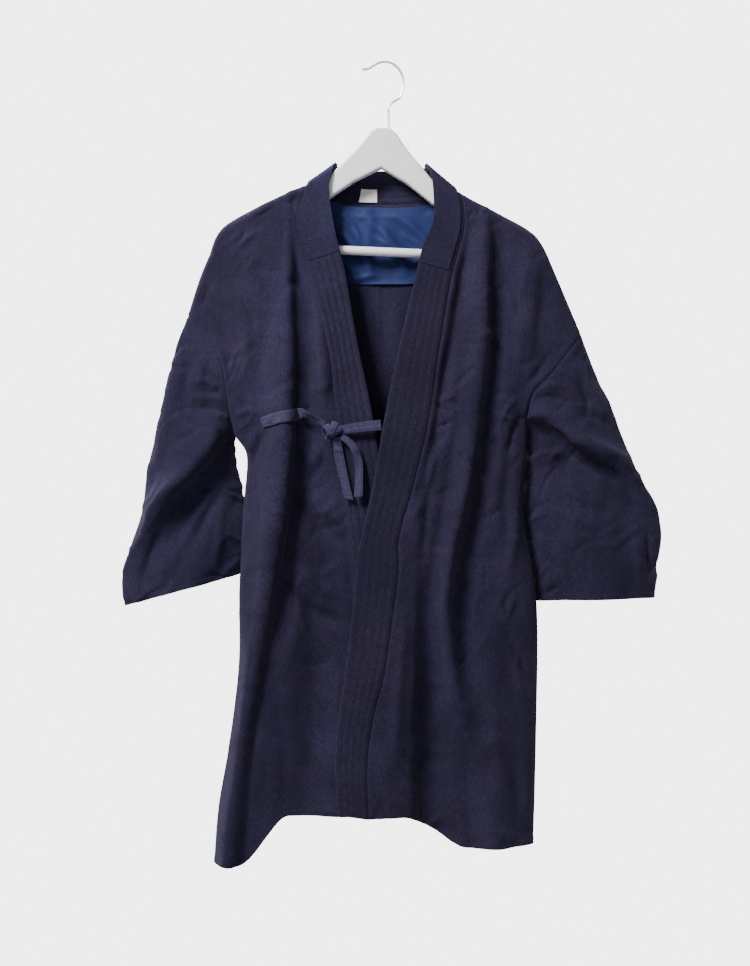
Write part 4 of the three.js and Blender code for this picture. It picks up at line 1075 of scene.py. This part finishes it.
coverPiece = closedWall("collar_cover_cloth", cover, collar["coverThick"] * (0.35 + 0.65 * coverFold),
                        lift=coverLift, relief=coverStitch)
finishPiece(coverPiece, materials["navy"], "navy_quilting", "collar_cover")
say("collar")


# Part of a grid between two rows and two columns, which may lie between its points
def partBetween(grid, rows, columns, steps, across):
    r = np.linspace(*rows, steps + 1)[:, None] + np.zeros(across + 1)
    c = np.linspace(*columns, across + 1)[None, :] + np.zeros((steps + 1, 1))
    out = {"ring": False}
    for field in ("points", "normals"):
        values = grid[field]
        r0 = np.clip(np.floor(r).astype(int), 0, values.shape[0] - 2)
        c0 = np.clip(np.floor(c).astype(int), 0, values.shape[1] - 2)
        dr, dc = (r - r0)[..., None], (c - c0)[..., None]
        top = mix(values[r0, c0], values[r0, c0 + 1], dc)
        low = mix(values[r0 + 1, c0], values[r0 + 1, c0 + 1], dc)
        out[field] = mix(top, low, dr)
    out["normals"] /= np.linalg.norm(out["normals"], axis=-1, keepdims=True)
    return out


# Neck label, bare, a little curled away from the collar
label = {"sections": (27.05, 27.95), "shares": (0.06, 0.44), "thick": 0.6, "gap": 0.35, "curl": 0.5,
         "rows": 24, "columns": 16}
labelGrid = partBetween(band, np.interp(label["sections"], section, np.arange(len(section))),
                        np.array(label["shares"]) * collar["cells"], label["rows"], label["columns"])
labelCurl = np.abs(label["curl"] * np.cos(np.linspace(0, 3.1, label["rows"] + 1))[:, None]
                   * np.linspace(0, 1, label["columns"] + 1)[None, :])
labelPiece = closedWall("neck_label_ribbon", labelGrid, label["thick"],
                        lift=-(collar["thick"] / 2 + label["gap"] + label["thick"] / 2) - labelCurl)
finishPiece(labelPiece, materials["ribbon"], "label_cloth", "neck_label")


# Yoke lining inside both backs
def wholeBack():
    out = {"ring": False}
    for field, source in (("points", "unsewn"), ("normals", "before")):
        out[field] = np.concatenate([grids["back_right"][source][:, ::-1], grids["back_left"][source][:, 1:]],
                                    axis=1)
    return out


lining = {"rows": (1, 5.2), "reach": 8, "thick": 1.0, "gap": 0.5, "cells": (76, 190), "wrinkle": 0.3}
middle = grids["back_right"]["points"].shape[1] - 1
reach = lining["reach"] * jacket["finerColumns"]
liningGrid = partBetween(wholeBack(), [v * jacket["finerRows"] for v in lining["rows"]],
                         [middle - reach, middle + reach], *lining["cells"])
liningCreases = creaseList([
    (5.0, 14, [(-78, -206), (-52, -232), (-28, -264), (-10, -296)]),
    (5.0, 13, [(-36, -198), (-8, -222), (16, -250), (30, -290)]),
    (4.2, 12, [(6, -200), (34, -216), (66, -248)]),
    (3.6, 10, [(-72, -250), (-50, -270), (-36, -298)]),
    (3.4, 9, [(40, -262), (52, -280), (58, -300)]),
    (0.8, 8, [(-90, -200), (-30, -206), (50, -204)]),
    (2.6, 6, [(-86, -216), (-66, -228), (-44, -246)]),
    (2.4, 5, [(-60, -202), (-44, -216), (-34, -236)]),
    (2.4, 6, [(-20, -230), (0, -244), (14, -266)]),
    (2.2, 5, [(22, -228), (40, -240), (52, -256)]),
    (2.6, 6, [(-70, -286), (-40, -290), (-12, -284)]),
    (2.2, 6, [(-30, -300), (4, -296), (40, -300)]),
])
x, z = liningGrid["points"][..., 0], liningGrid["points"][..., 2]
inwards = np.abs(creaseRise(liningCreases, x, z)) + lining["wrinkle"] * np.abs(wrinkles(x, z, 1, 21))
liningPiece = closedWall("yoke_lining_cloth", liningGrid, lining["thick"],
                         lift=-(jacket["wall"] / 2 + lining["gap"] + lining["thick"] / 2) - inwards)
finishPiece(liningPiece, materials["blue"], "blue_lining", "yoke_lining")
say("label and lining")


# Ties: flat tapes with a stitched edge on both sides; each row of a route gives the middle of the
# tape, which way its width lies, and how wide it is there.
tapeColumns = "at x y z wideX wideY wideZ wide"
tie = {
    "thick": 1.4, "across": 12,
    "sewnRows": (10, 12), "sewnColumns": (10, 5),       # where it is sewn on the right front
    "lift": 2.6,                # its middle above the middle of the front's wall
    "sewnCells": 40, "freeCells": 34, "cells": 48,      # along the sewn and free parts and the other tapes
    "edgeShape": 8, "edgeLeast": 0.12,
}
tapeWrinkle = {"far": 0.25, "near": 0.8, "waves": 6, "length": (0.9, 3.4), "slant": 0.25}
tapeSeams = ((0.28, 0.7, 0.12), (0.3, 0.1, 0.13))       # of the edges and the fold: dip, place and width
tapeRoutes = {
    "tie_right": table(tapeColumns, [
        [0, -112, -27, -474, 0, -4, 10, 14], [1, -101, -29, -478, 3, -9, 5, 10],
        [2, -91, -30, -483, 4, -7, 6, 9], [3, -81.5, -31, -489, 3, -3, 10, 9]]),
    "tie_left": table(tapeColumns, [
        [0, -61.5, -31.5, -497, 1, 0, 10, 12], [1, -45, -33.5, -494.5, 1, -1, 10, 13],
        [2, -26, -36, -492, 1, -1, 10, 13.5], [3, -7, -40.5, -490.5, -1, -1, 10, 13.5]]),
    "tie_end_right": table(tapeColumns, [
        [0, -66, -30, -506, 10, 0, -1, 10], [1, -62.5, -28.5, -532, 10, 0, -1, 13],
        [2, -55, -28.5, -566, 10, -1, -3, 13], [3, -50, -29, -588, 10, -1, -3, 13.5]]),
    "tie_end_left": table(tapeColumns, [
        [0, -59.5, -33, -505, 8, 0, 6, 8], [1, -46, -34, -516, 8, 2, 7, 10],
        [2, -38, -33, -533, 10, 4, 3, 11], [3, -36, -34, -556, 10, -4, -2, 11],
        [4, -37, -35, -585, 10, -2, 1, 12]]),
}


def tapeLines(route, steps, across):
    at = np.linspace(route["at"][0], route["at"][-1], steps)
    middle = np.stack([read(route, axis, at) for axis in "xyz"], axis=-1)
    wide = np.stack([read(route, axis, at) for axis in ("wideX", "wideY", "wideZ")], axis=-1)
    wide = wide / np.linalg.norm(wide, axis=-1, keepdims=True) * read(route, "wide", at)[:, None]
    return middle[:, None] + wide[:, None] * np.linspace(-0.5, 0.5, across + 1)[None, :, None]


def sewnTieLines(across):
    spread = jacket["finerRows"], jacket["finerColumns"]
    sewn = partBetween(grids["front_right"], [v * spread[0] for v in tie["sewnRows"]],
                       [v * spread[1] for v in tie["sewnColumns"]], across, tie["sewnCells"])
    lifted = sewn["points"] + sewn["normals"] * tie["lift"]
    free = tapeLines(tapeRoutes["tie_right"], tie["freeCells"], across)[:, ::-1]
    return np.concatenate([lifted.transpose(1, 0, 2), free[1:]])


# Small cross wrinkles, stronger next to the knot
def wrinkleTape(lines, nearKnot, seed):
    random = np.random.default_rng(seed)
    grid = makeGrid(lines, towardsViewer)
    if np.mean(grid["normals"][..., 1]) > 0:
        grid["normals"] = -grid["normals"]
    u, v = lengthsOf(lines)
    share = v / v[-1:]
    close = share ** 2 if nearKnot == "end" else (1 - share) ** 2
    strength = mix(tapeWrinkle["far"], tapeWrinkle["near"], close)
    rise = np.zeros_like(v)
    for i in range(tapeWrinkle["waves"]):
        waves = v / random.uniform(*tapeWrinkle["length"])
        waves = waves + u * random.uniform(-tapeWrinkle["slant"], tapeWrinkle["slant"])
        rise += np.sin(waves + random.uniform(0, 6.3))
    grid["points"] = lines + grid["normals"] * (rise * strength / 4)[..., None]
    return grid


def tapePiece(name, lines, nearKnot, seed):
    grid = wrinkleTape(lines, nearKnot, seed)
    across = np.linspace(-1, 1, lines.shape[1])[None, :]
    edge = np.sqrt(np.clip(1 - np.abs(across) ** tie["edgeShape"], tie["edgeLeast"], 1))
    seam = sum(dip * np.exp(-((spot - at) / wide) ** 2)
               for spot, (dip, at, wide) in zip((np.abs(across), across), tapeSeams))
    piece = closedWall(name + "_tape", grid, tie["thick"] * edge, relief=-seam, innerRelief=-seam)
    finishPiece(piece, materials["tape"], "navy_tape", name)
    return grid


tapes = {"tie_right": tapePiece("tie_right", sewnTieLines(tie["across"]), "end", 31)}
for seed, name in enumerate(("tie_left", "tie_end_right", "tie_end_left")):
    lines = tapeLines(tapeRoutes[name], tie["cells"], tie["across"])
    tapes[name] = tapePiece(name, lines, "start", 32 + seed)


# Bands bent round on themselves: the knot's turns and the small loop beside it
knot = {"thick": 1.7, "cells": 56, "rows": 8, "crown": 0.10, "ripple": 0.22}
knotBands = {
    "knot_turn": {"at": (-70.5, -32.5, -496), "axes": ((0, 1, 0.1), (0.25, 0, 1)), "radii": (6.3, 9.2),
                  "across": (1, 0, -0.35), "wide": 9.5, "wave": 1.2},
    "knot_cross": {"at": (-66.5, -32.0, -498), "axes": ((0, 1, 0), (0.8, 0, 0.55)), "radii": (5.0, 7.4),
                   "across": (-0.55, 0, 0.8), "wide": 8.5, "wave": -1.0},
    "knot_under": {"at": (-74.5, -32.0, -497), "axes": ((0, 1, 0), (0.5, 0, -0.85)), "radii": (4.6, 7.6),
                   "across": (0.85, 0, 0.5), "wide": 8.0, "wave": 0.8},
    "knot_loop": {"at": (-79.5, -31.8, -500.5), "axes": ((1, -0.5, 0.3), (-0.3, 0, 1)), "radii": (2.3, 7.6),
                  "across": (0.55, 0.85, 0.2), "wide": 8.5, "wave": 0.6},
}
knotMiddle = {"at": (-70, -32, -497), "radii": (7.6, 4.9, 8.4), "cells": (36, 20), "uneven": 0.07}


def loopBand(name, band):
    first, second, width = (np.array(v, float) / np.linalg.norm(v) for v in (*band["axes"], band["across"]))
    turn = np.linspace(0, 2 * math.pi, knot["cells"], endpoint=False)[None, :, None]
    across = np.linspace(-0.5, 0.5, knot["rows"] + 1)[:, None, None]
    crown = 1 + knot["crown"] * (1 - (2 * across) ** 2)
    centre = np.array(band["at"], float)
    points = (centre + first * np.cos(turn) * band["radii"][0] * crown
              + second * np.sin(turn) * band["radii"][1] * crown
              + width * (across * band["wide"] + band["wave"] * np.sin(turn + 0.6)))
    grid = makeGrid(points, (0, 0, 0), ring=True)
    if np.mean(np.sum(grid["normals"] * (points - centre), axis=-1)) < 0:
        grid["normals"] = -grid["normals"]
    edge = np.sqrt(np.clip(1 - np.abs(2 * across[..., 0]) ** 6, 0.15, 1))
    ripple = knot["ripple"] * np.sin(turn[..., 0] * 7 + across[..., 0] * 3) * np.ones_like(edge)
    return closedWall(name, grid, knot["thick"] * edge, relief=ripple)


def knotCore(name, at, radii, cells, uneven):
    bpy.ops.object.select_all(action="DESELECT")
    bpy.ops.mesh.primitive_uv_sphere_add(segments=cells[0], ring_count=cells[1], radius=1)
    core = bpy.context.object
    core.name = name
    core.data.uv_layers[0].name = "cloth"
    spots = np.empty(len(core.data.vertices) * 3)
    core.data.vertices.foreach_get("co", spots)
    spots = spots.reshape(-1, 3)
    swell = 1 + uneven * np.sin(spots[:, 0] * 9 + spots[:, 2] * 6) * np.cos(spots[:, 1] * 7)
    spots = (spots * np.array(radii) * swell[:, None] + np.array(at)) * mm
    core.data.vertices.foreach_set("co", spots.ravel())
    core.data.update()
    smoothShade(core, 60)
    return core


for name, loop in knotBands.items():
    nodes = ["tie_knot"] if name == "knot_turn" else []
    finishPiece(loopBand(name, loop), materials["tape"], "navy_tape", *nodes)
core = knotCore("knot_core", **knotMiddle)
finishPiece(core, materials["tape"], "navy_tape")
say("ties and knot")


# Stitches: short spindles of thread along lines on the cloth
def stitchMesh(name, lines, seed):
    length, gap, thickness = thread["length"], thread["gap"], thread["thick"]
    random = np.random.default_rng(seed)
    verts, faces = [], []
    for points, normals in lines:
        steps = np.concatenate([[0], np.cumsum(np.linalg.norm(np.diff(points, axis=0), axis=1))])
        starts = np.arange(gap, steps[-1] - length, length + gap)
        starts = starts + random.uniform(-thread["uneven"], thread["uneven"], len(starts)) * length
        for start in starts:
            at = start + np.array([0, thread["taper"], 1 - thread["taper"], 1]) * length
            spots = np.stack([np.interp(at, steps, points[:, i]) for i in range(3)], axis=-1)
            up = np.array([np.interp(start, steps, normals[:, i]) for i in range(3)])
            along = spots[-1] - spots[0]
            size = np.linalg.norm(along)
            if size < length * 0.5:
                continue
            side = np.cross(along / size, up)
            first = len(verts)
            raised = spots[1:3] + up * thickness * thread["raised"]
            verts.append(spots[0] - up * thickness * 0.5)
            for centre in raised:
                for a, b in ((1, 0), (0, 1), (-1, 0), (0, -1)):
                    verts.append(centre + side * a * thickness / 2 + up * b * thickness / 2)
            verts.append(spots[3] - up * thickness * 0.5)
            ring, other, last = first + 1, first + 5, first + 9
            for i in range(4):
                j = (i + 1) % 4
                faces.append((first, ring + j, ring + i))
                faces.append((ring + i, ring + j, other + j, other + i))
                faces.append((last, other + i, other + j))
    mesh = bpy.data.meshes.new(name)
    mesh.from_pydata([tuple(v * mm) for v in verts], [], faces)
    mesh.validate()
    piece = bpy.data.objects.new(name, mesh)
    bpy.context.scene.collection.objects.link(piece)
    edit = bmesh.new()
    edit.from_mesh(mesh)
    bmesh.ops.recalc_face_normals(edit, faces=edit.faces)
    edit.to_mesh(mesh)
    edit.free()
    smoothShade(piece, 60)
    return piece


# A line across a grid at a set distance from its last row
def lineFromHem(grid, distance, lift):
    points, normals = grid["points"], grid["normals"]
    v = lengthsOf(points)[1]
    line, ups = [], []
    for c in range(points.shape[1]):
        at = v[-1, c] - distance
        line.append([np.interp(at, v[:, c], points[:, c, i]) for i in range(3)])
        ups.append([np.interp(at, v[:, c], normals[:, c, i]) for i in range(3)])
    line, ups = np.array(line), np.array(ups)
    ups /= np.linalg.norm(ups, axis=-1, keepdims=True)
    return line + ups * lift, ups


def lineAlong(grid, column, lift, rows=slice(None)):
    return (grid["points"][rows, column] + grid["normals"][rows, column] * lift,
            grid["normals"][rows, column])


thread = {"length": 2.7, "gap": 1.4, "thick": 0.5, "sunk": 0.1, "uneven": 0.12, "taper": 0.22, "raised": 0.35}
rowsAt = {
    "collarEdge": 3, "edgeLift": 0.3,       # columns from the band's borders, where it is thicker
    "cover": (5, 8.5), "coverSunk": 0.45,   # mm from the cover's ends
    "tieEdge": 2, "tieEnds": (2, 9),        # columns and rows of the tapes
}
surface = jacket["wall"] / 2 - thread["sunk"]
hemLines = [lineFromHem(grids[name], hem["stitchAt"], surface)
            for name in ("front_right", "front_left", "back_right", "back_left")]
cuffLines = []
for name in ("sleeve_right", "sleeve_left"):
    line, ups = lineFromHem(grids[name], hem["stitchAt"], surface)
    cuffLines.append((np.concatenate([line, line[:1]]), np.concatenate([ups, ups[:1]])))

quiltLines = []
uncovered = [section < collar["coverFrom"] - collar["coverEdge"],
             section > collar["coverTo"] + collar["coverEdge"]]
for k in range(1, collar["ridges"]):
    column = round(collar["cells"] * k / collar["ridges"])
    for part in uncovered:
        quiltLines.append(lineAlong(band, column, collar["thick"] / 2, part))
for column in (rowsAt["collarEdge"], collar["cells"] - rowsAt["collarEdge"]):
    quiltLines.append(lineAlong(band, column, collar["thick"] / 2 + rowsAt["edgeLift"]))

coverTop = coverLift + collar["coverThick"] / 2 - rowsAt["coverSunk"]
coverLines = []
for at in rowsAt["cover"]:
    away = np.abs(fromEnds - at)
    for row in (np.argmin(away), len(away) - 1 - np.argmin(away[::-1])):
        coverLines.append((cover["points"][row] + cover["normals"][row] * coverTop, cover["normals"][row]))

tieLines = []
for grid in tapes.values():
    for column in (rowsAt["tieEdge"], tie["across"] - rowsAt["tieEdge"]):
        tieLines.append(lineAlong(grid, column, tie["thick"] / 2 - thread["sunk"]))
sewnTie = tapes["tie_right"]
for row in rowsAt["tieEnds"]:
    ups = sewnTie["normals"][row]
    tieLines.append((sewnTie["points"][row] + ups * tie["thick"] / 2, ups))

for name, lines, slotName, seed in (("hem_stitches", hemLines, "navy_cotton", 51),
                                    ("cuff_stitches", cuffLines, "navy_cotton", 52),
                                    ("collar_stitches", quiltLines, "navy_quilting", 53),
                                    ("cover_stitches", coverLines, "navy_quilting", 54),
                                    ("tie_stitches", tieLines, "navy_tape", 55)):
    finishPiece(stitchMesh(name, lines, seed), materials["thread"], slotName)
say("stitches")


say("cuts")


# The hanger keeps its solids and gets its finish here.
for name, look in (("hanger_body", "paint"), ("hanger_bar", "paint"), ("hanger_hook", "wire")):
    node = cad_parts[name]
    node.data.materials.clear()
    node.data.materials.append(materials[look])
say("hanger")


# Stage: pale floor well below the hem, pale world, soft lamps
stage = {
    "floorAt": -2.2, "floorSize": 3.2, "floorColour": (0.85, 0.85, 0.85),
    "world": (0.93, 0.93, 0.94), "worldSeen": 4.9, "worldLight": 0.16,
    "aim": (0, 0, -0.5),
    "lamps": [
        {"name": "key", "at": (-1.05, -1.15, 0.95), "size": 0.62, "watts": 100},
        {"name": "fill", "at": (0.2, -3.1, -0.1), "size": 1.8, "watts": 13},
        {"name": "back", "at": (-1.9, 1.35, 1.2), "size": 0.9, "watts": 150},
        {"name": "side", "at": (2.1, 0.5, -0.1), "size": 1.0, "watts": 26},
    ],
}


def makeStage(s):
    bpy.ops.object.select_all(action="DESELECT")
    bpy.ops.mesh.primitive_plane_add(size=s["floorSize"], location=(0, 0, s["floorAt"]))
    floor = bpy.context.object
    floor.name = "floor"
    floor.data.materials.append(plainMaterial("paleFloor", s["floorColour"], 0.9, grain=3))
    world = bpy.data.worlds.new("pale")
    world.use_nodes = True
    tree = world.node_tree
    sky = tree.nodes["Background"]
    sky.inputs["Color"].default_value = (*s["world"], 1)
    seen = addNode(tree, "ShaderNodeLightPath").outputs["Is Camera Ray"]
    strength = compute(tree, "MULTIPLY_ADD", seen, s["worldSeen"] - s["worldLight"], s["worldLight"])
    tree.links.new(strength, sky.inputs["Strength"])
    bpy.context.scene.world = world
    for lamp in s["lamps"]:
        data = bpy.data.lights.new(lamp["name"], "AREA")
        data.size, data.energy = lamp["size"], lamp["watts"]
        light = bpy.data.objects.new(lamp["name"], data)
        light.location = lamp["at"]
        aim = np.array(s["aim"]) - np.array(lamp["at"])
        light.rotation_euler = (math.acos(-aim[2] / np.linalg.norm(aim)), 0,
                                math.atan2(aim[1], aim[0]) - math.pi / 2)
        bpy.context.scene.collection.objects.link(light)


makeStage(stage)
say("stage")
